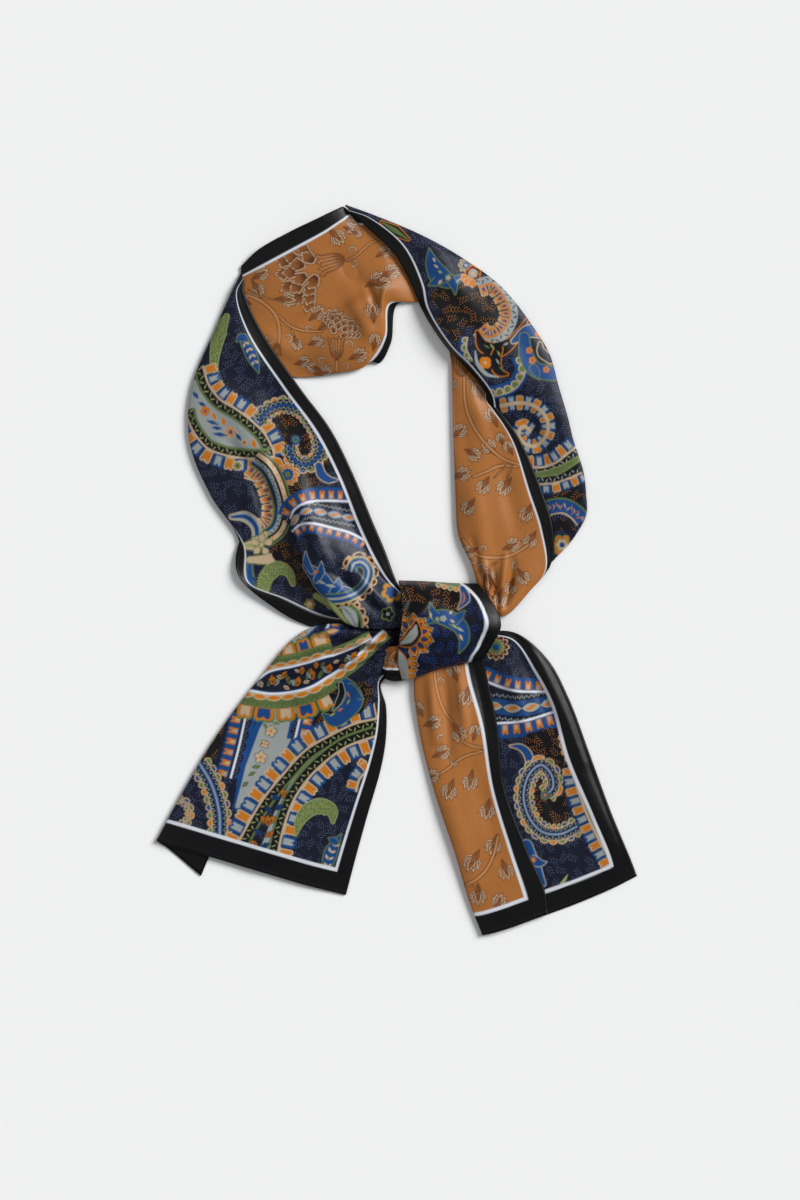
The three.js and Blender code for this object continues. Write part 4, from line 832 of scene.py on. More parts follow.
RIGHT_SIDE_NAVY_SECTIONS = [
    [-30.4, 237.6, 3.4, -31.4, 239.2, 4, -32.2, 240.3, 4, -32.8, 241.1, 3.8, -33.4, 241.8, 3.4,
     -33.8, 242.3, 2.8, -34, 242.7, 2, -34.2, 243, 1.3],
    [-20.4, 228.6, 3.4, -17.8, 234.2, 4.4, -17.1, 235, 4.4, -16.6, 235.5, 4.1, -16.2, 235.9, 3.6,
     -16, 236.1, 2.9, -15.8, 235.8, 1.9, -16, 235.4, 1],
    [-1.8, 210.6, 3.4, 4.9, 215.9, 4.6, 8.9, 218.6, 5.2, 12.2, 220.6, 5, 14.9, 221.9, 4,
     16.6, 222.6, 2.3, 15.8, 222, 0.8, 12.2, 218.9, 0.6],
    [9.6, 190.6, 3.8, 17.2, 190.6, 5.6, 27.6, 197.2, 6.4, 36.2, 202.6, 6, 42.2, 205.9, 4.8,
     45.6, 206.2, 2.4, 44.2, 204.9, 0.8, 33.6, 196.6, 0.6],
    [17.2, 172.6, 3.6, 20.9, 173.9, 7.6, 40.2, 180.6, 7, 54.9, 185.2, 6.2, 64.9, 188.6, 4.8,
     69.6, 188.2, 2.4, 67.9, 186.9, 0.8, 48.9, 178.6, 0.6],
    [32.9, 148.6, 3.6, 35.6, 149.9, 8.8, 54.2, 156.6, 7.4, 72.2, 160.6, 6.2, 84.2, 163.2, 4.8,
     89.6, 163.2, 2.4, 87.9, 161.9, 0.8, 66.9, 153.2, 0.6],
    [48.2, 132.6, 3.6, 50.9, 134.2, 8.4, 67.6, 139.2, 7.6, 83.6, 142.6, 6.4, 96.2, 144.6, 4.6,
     101.6, 143.2, 2.4, 99.6, 142.6, 0.8, 74.2, 135.2, 0.6],
    [60.6, 115.2, 3.5, 63.6, 117.2, 7, 76.2, 119.2, 6.8, 90.9, 121.9, 5.6, 102.9, 122.6, 4.3,
     107.6, 121.9, 2.4, 105.6, 121.2, 0.8, 72.2, 115.2, 0.6],
    [62.9, 104.2, 0.9, 66.2, 105.9, 1.7, 81.6, 109.2, 4.8, 94.9, 111.2, 5.2, 106.2, 112.6, 4.2,
     110.6, 111.9, 2.4, 108.6, 111.2, 0.8, 84.9, 107.9, 0.6],
    [64.9, 94.2, 0.7, 70.2, 95.9, 1, 86.2, 99.2, 3.4, 99.6, 101.2, 4.6, 109.6, 102.6, 4,
     113.6, 101.9, 2.4, 111.6, 101.2, 0.8, 97.6, 99.2, 0.6],
    [70.2, 80.6, 0.7, 76.2, 82.2, 0.9, 92.2, 85.2, 2.4, 104.2, 86.6, 3.6, 113.6, 87.9, 3.4,
     117.2, 87.2, 2.3, 115.2, 86.6, 0.8, 106.2, 84.9, 0.6],
    [80.9, 56.6, 0.7, 89.6, 57.9, 0.8, 102.2, 59.9, 1.8, 112.9, 61.2, 3, 121.6, 63.2, 3,
     124.6, 62.6, 2.1, 122.9, 61.2, 0.8, 115.6, 59.9, 0.6],
    [87.6, 33.2, 0.6, 96.9, 33.9, 0.8, 106.9, 35.2, 1.4, 115.6, 36.6, 2.2, 121.6, 37.9, 2.6,
     124.9, 39.9, 2.2, 126, 40.4, 1.8, 126.9, 41.2, 1.2],
    [88.9, 14.6, 0.6, 95.6, 15.9, 0.7, 102.2, 17.2, 1, 108.2, 19.2, 1.4, 112.9, 20.6, 1.8,
     115.6, 21.2, 1.6, 117.2, 21.8, 1.3, 118.9, 22.6, 0.8],
    [83.6, -0.1, 0.6, 88.9, 0.6, 0.6, 92.9, 1.9, 0.6, 96.9, 3.2, 0.7, 99.6, 3.9, 0.8,
     101.6, 4.6, 0.8, 102.9, 5.2, 0.7, 104.2, 5.9, 0.6],
]
RIGHT_SIDE_NAVY_CREASES = [
    ((18.2, 219.9), (48.9, 173.2), 7, 1.7), ((39.6, 213.2), (82.2, 159.9), 9, -1.7),
    ((62.2, 159.9), (95.6, 113.2), 8, 1.7), ((82.2, 113.2), (106.2, 46.6), 8, -1.9),
    ((100.9, 66.6), (112.9, 19.9), 6, 1.7),
]
RIGHT_SIDE_NAVY_PRINT = [
    ("stroke", (-9.8, 231.2, -0.4, 225.2, 7.6, 219.9), (2, 7, 2), BLACK, "orange", 0.6, "olive"),
    ("patch", (28.9, 181.2, 43.6, 176.6, 60.9, 173.9), (12, 30, 26)),
    ("patch", (34.2, 166.6, 40.9, 154.6), (14, 6)),
    ("stroke", (21.8, 213.2, 23.6, 203.9, 28.9, 195.2, 36.9, 191.9, 43.6, 195.2), (0.4, 8, 12.5,
     9.5, 1.5), "blue", "olive", 0.8),
    ("stroke", (38.9, 183.2, 38.2, 188.6, 35.6, 193.2), (0.4, 4, 5.5), "blue", "olive", 0.8),
    ("stroke", (21.6, 189.2, 25.6, 191.2, 30.2, 193.9), (0.4, 5, 6.5), "blue", "olive", 0.8),
    ("stroke", (22.9, 209.2, 24.9, 201.2, 29.6, 195.2), (0.3, 6.5, 7.5), "blue"),
    ("flower", (34.2, 193.9), 2.4, 5, ("olive", "cream", None, "pale"), 0),
    ("leaves", "cream", (24.2, 207.2, 25.6, 204.6, 1.8), (24.9, 202.6, 27.6, 200.6, 1.8)),
    ("leaves", "olive_light", (27.6, 198.6, 30.2, 197.2, 2)),
    ("leaves", "cream", (27.6, 189.9, 30.2, 192.6, 2.4)),
    ("leaves", "pale", (39.6, 190.6, 41.6, 193.2, 1.8)),
    ("flower", (46.2, 202.6), 5.4, 8, ("cream", "olive", "blue", "pale"), 0),
    ("flower", (50.9, 197.2), 5.6, 5, ("orange", BLACK, "pale", "cream"), 30, 0.15),
    ("petals", (50.2, 195.9), 3.4, (200, 235, 270), 4.6, 5.2, "orange", "cream"),
    ("band", (54.2, 187.9, 63.6, 189.9, 70.9, 181.9, 75.2, 169.9, 70.2, 158.6, 60.2, 154.6,
     54.9, 159.9), (("stripe", 0.6, 5.6, "pale"), ("dashes", 1.2, 5.2, 2.8, BLACK), ("fringe",
     -0.4, -7.2, 6, HEARTS), ("stripe", -0.5, 0.7, "orange"))),
    ("stroke", (53.6, 157.9, 57.6, 148.6, 67.6, 145.9, 76.2, 151.2, 83.6, 161.2, 87.6, 167.9), (2,
     7.6, 9, 6.5, 3.5, 1), BLACK, "orange", 0.7),
    ("stroke", (67.6, 146.6, 65.6, 138.6, 68.2, 131.2, 73.6, 129.9), (5.5, 7, 6, 1), BLACK,
     "orange", 0.7),
    ("stroke", (58.2, 151.2, 66.2, 148.6, 74.2, 153.2), (0.8, 4.6, 0.8), BLACK),
    ("leaves", "olive", (58.2, 149.2, 61.6, 147.2, 1.4)),
    ("leaves", "olive_light", (62.2, 149.9, 64.9, 146.6, 1.4), (66.9, 145.2, 68.9, 141.9, 1.4)),
    ("leaves", "pale", (66.2, 139.9, 68.2, 136.6, 1.4), (70.9, 149.2, 74.2, 150.6, 1.4)),
    ("leaves", "olive", (68.2, 134.6, 70.9, 132.6, 1.4)), ("disc", (58.9, 137.5), 6.2, (BLACK,)),
    ("flower", (58.9, 137.5), 4.2, 4, ("orange", "orange", None, "cream"), 45, 0.2),
    ("stroke", (52.2, 145.2, 53.6, 137.2, 59.6, 129.9, 67.6, 127.9), (0.8, 2.6, 2.6, 0.8), "pale"),
    ("band", (46.9, 154.6, 46.2, 146.6, 50.2, 138.6), (("stripe", -4.6, 1, "blue"), ("scallops",
     0.6, -3.4, 4.8, ("olive",)))),
    ("band", (79.6, 141.2, 82.2, 133.2, 77.6, 123.9, 67.6, 119.2, 56.9, 118.6), (("stripe", -3.6,
     5.2, "blue"), ("scallops", 3.8, -1.6, 5.4, ("olive",)))),
    ("stroke", (77.6, 151.9, 87.6, 158.6, 96.2, 158.6, 103.6, 150.6), (3, 8, 9, 3), "blue",
     "cream", 0.7),
    ("stroke", (84.9, 154.6, 86.2, 142.6, 92.2, 133.2, 103.6, 130.6), (6, 8.5, 9.5, 9), "blue",
     "olive", 0.8),
    ("stroke", (95.6, 150.6, 96.2, 145.2, 102.2, 139.9), (2, 6, 5), "ground", "cream", 0.7),
    ("flower", (88.2, 145.9), 2.3, 5, ("orange", "orange", None, "blue"), 0),
    ("flower", (90.2, 139.2), 2.5, 5, ("orange", "orange", None, "blue"), 0),
    ("flower", (99.6, 133.2), 2.3, 5, ("orange", "orange", None, "blue"), 0),
    ("flower", (94.2, 157.2), 2.2, 5, ("orange", "orange", None, "cream"), 0),
    ("stroke", (94.2, 127.2, 92.9, 130.6, 90.9, 133.9), (0.4, 4.4, 5), "blue", "olive", 0.7),
    ("band", (68.6, 108.9, 81.4, 111, 91.1, 109.2, 98.9, 102.2, 100.9, 93.4, 96.9, 85.6,
     91.1, 82.4, 84.2, 84.9, 81.2, 91.2, 84.2, 95.6, 90.1, 92.2), (("fringe", 0.9, 5.2, 5.4,
     TULIPS), ("fringe", -0.9, -4.8, 5.4, TULIPS), ("stripe", -1.2, 1.2, "cream"))),
    ("band", (86.2, 67.7, 102.9, 69.9, 119.6, 81.9), (("fringe", 0.8, 8.4, 6.2, TULIPS),
     ("stripe", -14, 0, BLACK), ("dashes", -4.6, -1, 2.8, "pale"), CREAM_EDGE)),
    ("stroke", (88.9, 62.9, 106.2, 65.6, 122.2, 74.6), (2, 4.6, 3), "olive", "olive_light", 0.4),
    ("band", (90.2, 56.9, 105.8, 57.8, 123.6, 64.6), (("dashes", 1, 4.4, 2.8, "pale"), CREAM_EDGE,
     ("fringe", -0.8, -6.6, 6.2, TULIPS))),
    ("patch", (103.6, 46.6, 112.9, 48.6, 122.2, 49.2), (4, 8, 6)),
    ("band", (96.2, 39.2, 102.9, 42.6, 111.6, 43.2, 119.6, 39.2, 124.9, 33.2), (("stripe", -5.2,
     3.6, "blue"), ("stripe", 3.6, 4.6, "olive"), ("dashes", -3.6, 1.6, 2.6, "orange"), ("dashes",
     -2.4, 0.6, 3.7, "pale"), ("stripe", -6.2, -5.2, "cream"))),
    ("patch", (104.2, 27.2, 110.9, 30.6, 116.9, 26.6), (4, 7, 4)),
    ("flower", (110.2, 16.6), 7.4, 6, ("olive", "orange", "cream", "blue"), 0),
]

RIGHT_SIDE_OCHRE_SECTIONS = [
    [48.9, 167.9, 0.6, 46.2, 167.2, 0.6, 40.9, 165.9, 0.6, 35.6, 164.6, 0.6, 31.6, 163.2, 0.6,
     28.9, 162.6, 0.6, 28.9, 161.9, 0.6, 29.6, 161.2, 0.6],
    [61.6, 150.6, 0.6, 57.6, 149.9, 0.6, 50.2, 148.6, 0.7, 43.6, 146.6, 1, 38.2, 145.2, 1.8,
     35.6, 144.6, 1.6, 36.6, 143.9, 0.8, 38.2, 143.9, 0.6],
    [68.9, 134.6, 0.7, 64.9, 133.9, 0.7, 56.9, 132.6, 1, 48.9, 131.2, 1.5, 40.9, 130.6, 3.4,
     37.2, 130.6, 2.3, 38.9, 129.9, 0.8, 41.6, 129.9, 0.6],
    [61.6, 115.9, 1.2, 58.9, 115.2, 1.5, 54.9, 114.6, 2.4, 48.9, 113.2, 4, 41.6, 112.6, 4,
     37.7, 112.6, 2.4, 39.6, 111.9, 0.8, 46.2, 111.9, 0.6],
    [68.2, 106.2, 2.6, 64.6, 105.2, 3.3, 57.6, 103.9, 4.2, 50.2, 102.6, 4.8, 41.6, 101.9, 4.2,
     38, 101.9, 2.4, 39.9, 101.2, 0.8, 56.2, 101.9, 0.6],
    [74.6, 98.2, 4, 70.4, 97, 4.6, 62.2, 95.2, 4.6, 52.2, 93.2, 5, 42.2, 92.6, 4.4,
     38.2, 92.6, 2.5, 40.2, 91.9, 0.8, 62.9, 93.2, 0.6],
    [82.9, 85.2, 3.2, 77.6, 83.9, 3.9, 68.2, 81.9, 4.5, 55.6, 79.9, 5.2, 42.9, 79.2, 4.5,
     38.6, 79.2, 2.5, 40.6, 78.6, 0.8, 67.6, 79.2, 0.6],
    [96.2, 53.9, 3, 87.6, 51.9, 3.8, 74.2, 48.6, 4.6, 58.9, 46.6, 5.4, 44.2, 46.6, 4.6,
     39.6, 47.2, 2.5, 41.9, 46.9, 0.8, 74.9, 50.6, 0.6],
    [104.2, 27.2, 3.2, 95.9, 25.9, 3.8, 82.2, 23.2, 4.4, 62.9, 21.2, 5, 46.9, 21.2, 4.8,
     41.6, 22.6, 2.6, 43.9, 21.6, 0.8, 80.9, 26.6, 0.6],
    [102.9, 4.6, 2.6, 98.9, -0.1, 3.4, 86.2, -2.8, 6, 70.9, -2.1, 4.4, 56.9, -1.4, 6.6,
     50.9, 1.9, 3.6, 54.2, 1.6, 1.1, 76.2, 0.6, 0.6],
    [90.2, -9.4, 2.2, 88.9, -13.4, 3.4, 80.9, -15.4, 7.4, 69.6, -14.8, 4.6, 60.9, -14.8, 7.8,
     54.9, -13.1, 4, 57.9, -13.4, 1.6, 71.6, -13.4, 1],
    [74.2, -28.8, 3.6, 72.2, -30.1, 5, 70.2, -27.4, 8.4, 66.9, -25.4, 7.4, 63.6, -24.8, 8.6,
     60.2, -23.1, 5.6, 60.9, -24.8, 3.4, 64.9, -26.1, 2.6],
    [57.6, -32.1, 5, 57.6, -31.4, 6.4, 57.6, -28.8, 8.6, 57.6, -26.8, 8, 57.6, -25.1, 8.6,
     57.6, -23.8, 6.8, 57.6, -25.4, 4.9, 57.6, -27.1, 4.2],
]
RIGHT_SIDE_OCHRE_CREASES = [
    ((56.9, 6.6), (63.6, -26.8), 2.6, 2.6), ((72.2, 9.2), (68.9, -28.1), 2.4, 2.6),
    ((64.2, 2.6), (66.9, -28.1), 2.2, -2.3), ((78.2, 5.2), (72.9, -24.1), 2.4, -2),
    ((50.2, 19.9), (60.9, -20.1), 3, -2), ((48.9, 66.6), (59.6, 6.6), 7, 2),
    ((68.9, 73.2), (82.2, 19.9), 7, -1.9), ((54.2, -4.1), (63.6, -24.1), 2.4, 1.7),
    ((40.9, 113.2), (48.9, 59.9), 6, -1.4), ((47.6, 126.6), (59.6, 86.6), 5, 1.4),
]
RIGHT_SIDE_OCHRE_PRINT = [
    ("calyx", (42.9, 137.2), 92, 17), ("calyx", (34.9, 145.2), 80, 9),
    ("buds", (34.9, 152.6, 100, 6.7), (41.6, 153.2, 70, 7.4)),
    ("curls", (48.2, 123.9, 2.4, 20), (40.2, 123.2, 2.4, 160)),
    ("buds", (54.2, 119.9, 110, 6.7), (63.6, 102.6, 115, 7.4), (42.2, 92.6, 40, 6.7), (61.6, 81.9,
     130, 6.9), (51.6, 76.6, -30, 6.5), (44.2, 63.9, 20, 6.7), (74.2, 81.9, 120, 5.4), (57.6, 55.2,
     240, 6.7), (71.6, 54.6, 235, 7.2), (47.6, 41.2, 235, 6.7), (86.2, 37.2, 240, 6.9), (88.9,
     19.2, 240, 6.5), (77.6, 16.6, 25, 6.7), (68.9, 87.9, 110, 4.5)),
    ("stem", (44.9, 127.9, 45.6, 111.9, 48.9, 99.9, 57.6, 85.9, 70.9, 73.9, 81.6, 69.9), 1.9),
    ("stem", (80.9, 68.6, 68.9, 69.2, 59.6, 65.2, 50.9, 61.9), 1.7),
    ("stem", (72.2, 69.2, 64.9, 61.2), 0.7), ("stem", (76.9, 69.2, 73.6, 61.2), 0.7),
    ("stem", (44.2, 19.9, 51.6, 11.2, 58.2, 8.6, 72.2, 8.6, 82.9, 13.2, 87.6, 16.6), 1.9),
    ("curls", (56.9, 13.2, 2.6, 60), (51.6, 6.6, 2.4, 240)),
    ("buds", (48.9, -8.1, 250, 5.6), (62.2, -3.4, -60, 5.6), (47.6, 11.9, 200, 6)),
    ("stem", (50.2, -2.8, 58.2, -0.1, 66.9, 5.2), 0.9),
    ("petal", (60.2, -3.4), -75, 18, 7.5, "ochre", "brown", "brown"),
    ("petal", (59.2, -2.8), -82, 14, 5, "ochre", "brown", "brown"),
    ("buds", (68.9, -20.1, -100, 6.7), (75.6, -12.1, -110, 6), (84.2, -5.4, -60, 6.3), (55.6,
     -16.1, -80, 5.2)),
    ("curls", (55.6, 1.9, 2.4, 40), (78.9, 2.6, 2.4, 140)),
]

KNOT_BAND_SECTIONS = [
    [1.2, -7.4, 3, 1.9, -10.8, 9.5, 3.2, -20.1, 16, 3.6, -33.4, 18.4, 1.6, -48.1, 15.6,
     1.2, -62.8, 10.5, 3.6, -72.8, 6.6],
    [16.9, -7.8, 2.2, 17.6, -11.4, 10.4, 18.6, -20.8, 17.4, 18.9, -36.1, 20.4, 16.9, -53.4, 17.8,
     10.9, -66.1, 11.4, 7.6, -72.8, 8],
    [36.9, -9.1, 2.6, 37.9, -12.8, 10.8, 39.6, -22.1, 17.8, 40.9, -36.8, 20.8, 38.2, -51.4, 18,
     32.9, -60.1, 12.6, 28.9, -65.4, 8.8],
    [51.6, -9.4, 5.8, 54.2, -13.4, 10.4, 57.6, -22.1, 15.8, 60.9, -36.1, 18.8, 56.9, -49.4, 16.6,
     50.2, -57.4, 12, 47.6, -61.4, 8.8],
    [53.6, -9.4, 6.2, 58.2, -14.8, 9.8, 64.9, -24.1, 13.6, 69.2, -36.8, 16, 64.9, -47.4, 14.2,
     60.2, -55.4, 11, 58.9, -58.4, 8.8],
]
KNOT_BAND_CREASES = [
    ((1.6, -46.8), (22.2, -20.1), 3, 1.7), ((1.6, -50.8), (28.9, -40.1), 2.6, 2),
    ((1.6, -53.4), (32.9, -52.1), 2.6, -1.6), ((0.9, -48.1), (12.9, -12.1), 2.6, -1.7),
    ((28.9, -13.4), (51.6, -46.8), 7, -1.9), ((18.2, -65.4), (59.6, -53.4), 4, 2.3),
    ((48.9, -14.8), (63.6, -44.1), 4, 1.9), ((4.9, -20.1), (10.2, -10.8), 3, -1.2),
]
KNOT_BAND_PRINT = [
    ("ferns", "fern_blue"), ("patch", (4.9, -14.8, 18.9, -16.1, 36.9, -18.1), (16, 22, 18)),
    ("patch", (3.6, -28.1, 11.6, -24.1, 22.2, -22.8), (10, 12, 8)),
    ("band", (26.2, -8.8, 35.6, -11.4, 48.9, -13.4), (("scallops", 0.8, -2.6, 4, ("olive",
     "orange")), ("stripe", 0.6, 4, "olive"))),
    ("stroke", (43.6, -12.1, 45.6, -18.8, 40.9, -26.1), (3.2, 5.6, 0.6), "blue", "cream", 0.6),
    ("stroke", (44.2, -14.8, 44.9, -19.4, 42.9, -22.8), (0.3, 1.2, 0.3), "orange"),
    ("stroke", (41.6, -54.8, 44.6, -46.8, 42.2, -38.1, 34.9, -32.8, 26.2, -31.4, 20.9, -34.8),
     (0.4, 5.8, 8.8, 10.4, 8.8, 2), "blue", "olive", 0.8),
    ("stroke", (22.2, -22.1, 23.6, -27.4, 26.9, -32.1), (0.4, 3.6, 5.5), "blue", "olive", 0.8),
    ("stroke", (44.9, -27.4, 41.6, -30.8, 37.6, -34.1), (0.4, 4.4, 6), "blue", "olive", 0.8),
    ("stroke", (38.2, -34.8, 33.6, -32.1, 26.9, -32.1), (3, 8.8, 5), "blue"),
    ("flower", (30.9, -32.4), 2.2, 5, ("pale", "pale", None, "olive"), 0),
    ("flower", (26.9, -32.8), 1.9, 5, ("olive", "cream", None, "olive"), 0),
    ("leaves", "cream", (34.9, -29.4, 36.9, -27.4, 2.2), (35.6, -33.4, 38.2, -34.8, 1.9)),
    ("leaves", "olive_light", (36.9, -36.1, 39.6, -38.8, 1.6)),
    ("leaves", "pale", (39.6, -38.1, 44.2, -40.8, 1.9)),
    ("leaves", "cream", (41.6, -42.8, 43.6, -46.8, 1.9), (22.2, -28.1, 22.9, -32.1, 1.8)),
    ("petals", (9.6, -44.1), 6, (160, 118, 84, 52, 20, -12, -44, -78), 8.8, 6.6, BLACK, "cream"),
    ("petals", (9.6, -44.1), 6.4, (160, 118, 84, 52, 20, -12, -44, -78), 7, 4.4, "orange",
     "orange"),
    ("petals", (9.6, -44.1), 6.6, (160, 118, 84, 52, 20, -12, -44, -78), 4.2, 2.2, "blue", BLACK),
    ("stroke", (0.9, -48.8, 8.2, -46.8, 12.2, -40.8, 12.9, -34.8), (2, 8.6, 9.4, 2), BLACK,
     "orange", 0.9),
    ("stroke", (2.9, -48.8, 8.2, -46.1, 11.6, -41.4, 12.9, -36.8), (1, 4.8, 5.2, 0.6), "pale",
     "cream", 0.2),
    ("leaves", "olive", (4.9, -47.4, 10.2, -43.4, 0.8)),
    ("stroke", (-0.4, -52.8, 3.6, -60.1, 5.6, -72.1), (1.6, 6, 4), "pale", "orange", 0.8),
    ("petals", (5.6, -61.4), 3.6, (24, -14), 5, 4.2, BLACK, "cream"),
    ("petals", (5.6, -68.1), 3.4, (12, -30), 4.6, 3.8, BLACK, "cream"),
    ("petals", (5.6, -61.4), 3.8, (24, -14), 3.2, 1.8, "orange", "orange"),
    ("petals", (5.6, -68.1), 3.6, (12, -30), 3, 1.6, "orange", "orange"),
]

RIGHT_TAIL_OCHRE_SECTIONS = [
    [56.9, -53.4, 4.9, 44.9, -54.1, 5.6, 32.9, -54.8, 5.8, 22.2, -57.4, 5.4, 16.2, -60.1, 4.2,
     18.9, -60.1, 2.6, 24.9, -60.1, 2.2],
    [60.2, -70.8, 3.8, 48.2, -73.4, 4.6, 32.9, -74.8, 5.6, 18.2, -74.8, 5.2, 11.9, -74.8, 3.4,
     14.6, -76.1, 1.4, 29.6, -77.4, 0.9],
    [66.9, -102.8, 3, 56.9, -104.8, 3.6, 39.6, -106.8, 4.6, 20.9, -106.8, 4, 15.2, -106.1, 2.4,
     18.2, -107.1, 0.8, 35.6, -106.8, 0.6],
    [71.6, -144.1, 2.8, 63.6, -145.4, 3.4, 46.2, -148.1, 4, 30.9, -148.1, 3.8, 25.2, -146.8, 2.3,
     28.2, -148.1, 0.8, 37.6, -148.8, 0.6],
    [86.9, -186.8, 2.8, 76.2, -188.1, 3.4, 60.2, -191.4, 3.8, 44.9, -191.4, 3.6,
     39.6, -190.1, 2.3, 42.6, -191.8, 0.8, 51.6, -192.1, 0.6],
    [98.2, -212.1, 2.8, 85.6, -216.8, 3.2, 70.2, -221.4, 3.6, 54.9, -222.1, 3.4,
     48.9, -221.4, 2.3, 51.9, -222.8, 0.8, 60.2, -223.1, 0.6],
    [100.9, -229.4, 2.8, 89.6, -233.4, 3, 76.9, -238.1, 3.2, 63.6, -242.1, 3.2, 57.6, -243.4, 2.2,
     60.2, -243.1, 0.8, 68.9, -240.4, 0.6],
]
RIGHT_TAIL_OCHRE_CREASES = [
    ((22.2, -68.1), (26.2, -113.4), 3.6, 2.2), ((31.6, -65.4), (35.6, -126.8), 4, -2.2),
    ((40.9, -62.8), (46.2, -113.4), 3.6, 2.2), ((51.6, -61.4), (60.9, -106.8), 3.6, -1.9),
    ((28.9, -140.1), (48.9, -206.8), 8, 1.7), ((48.9, -126.8), (67.6, -186.8), 7, -1.4),
    ((62.2, -65.4), (76.9, -126.8), 3, 1.4),
]
RIGHT_TAIL_OCHRE_PRINT = [
    ("buds", (37.6, -66.8, 110, 6.9)), ("curls", (28.9, -74.8, 2.6, 60), (26.9, -68.1, 2.2, 150)),
    ("stem", (24.9, -65.4, 26.9, -80.1, 32.2, -94.8, 40.9, -105.4), 1.6),
    ("buds", (46.2, -84.8, -110, 7.8), (14.2, -92.1, 120, 5.8), (24.9, -101.4, 20, 6.7), (41.6,
     -109.4, -60, 7.4), (52.2, -107.4, 80, 5.8)),
    ("stem", (42.9, -113.4, 48.9, -116.8, 58.9, -118.8), 1.5),
    ("stem", (56.9, -120.8, 44.2, -124.8, 33.6, -132.8, 24.9, -138.1), 1.7),
    ("buds", (30.9, -121.4, 25, 6.9), (23.6, -137.4, 20, 6.7)),
    ("curls", (38.9, -128.1, 2.2, 220), (28.9, -112.1, 2.2, 100)),
    ("buds", (34.9, -147.4, -110, 7.4), (48.9, -141.4, -100, 7.4), (60.2, -160.8, -100, 7.4),
     (64.2, -184.1, -110, 7.6)),
    ("stem", (39.6, -210.8, 49.6, -208.1, 58.2, -201.4, 64.2, -190.8, 67.6, -177.4), 1.9),
    ("buds", (50.2, -194.8, -120, 8.5), (72.9, -200.8, -70, 7.4), (54.2, -217.4, -90, 7.6), (68.2,
     -220.8, 70, 7.2)),
    ("stem", (39.6, -209.4, 51.6, -210.8, 54.2, -213.4), 0.9),
]

RIGHT_TAIL_NAVY_SECTIONS = [
    [58.2, -50.8, 2.8, 58.9, -48.1, 3.6, 59.6, -45.4, 4.4, 60.2, -42.8, 4.8, 60.2, -40.1, 4],
    [54.2, -76.1, 1, 64.9, -65.4, 1.6, 72.9, -54.8, 3.4, 77.6, -46.8, 4.4, 80.2, -42.4, 3.4],
    [46.2, -98.8, 0.6, 63.6, -90.8, 0.8, 79.6, -80.1, 2.4, 92.2, -67.4, 3, 100.9, -60.1, 1.2],
    [36.9, -118.8, 0.6, 62.2, -109.4, 0.6, 84.9, -100.1, 1.6, 104.2, -90.8, 1.8,
     114.9, -86.1, 0.8],
    [44.9, -152.8, 0.6, 68.9, -144.1, 0.6, 92.2, -135.4, 1.4, 113.6, -125.4, 1.6,
     128.9, -123.4, 0.8],
    [58.2, -193.4, 0.6, 82.2, -184.8, 0.6, 106.9, -175.4, 1.4, 130.2, -164.1, 1.6,
     142.9, -161.4, 0.8],
    [66.9, -224.8, 0.6, 92.9, -215.4, 0.6, 118.9, -205.4, 1.2, 142.9, -196.1, 1.4,
     156.2, -193.4, 0.8],
    [74.9, -238.8, 0.6, 97.6, -230.8, 0.6, 120.9, -222.1, 1, 144.2, -212.1, 1.2,
     160.2, -204.1, 0.8],
]
RIGHT_TAIL_NAVY_CREASES = [
    ((68.9, -53.4), (88.9, -113.4), 5, 2.3), ((79.6, -46.8), (106.2, -106.8), 5, -2.2),
    ((91.6, -53.4), (124.9, -126.8), 5, 2), ((95.6, -126.8), (122.2, -186.8), 9, -1.6),
    ((108.9, -106.8), (142.2, -180.1), 8, 1.4),
]
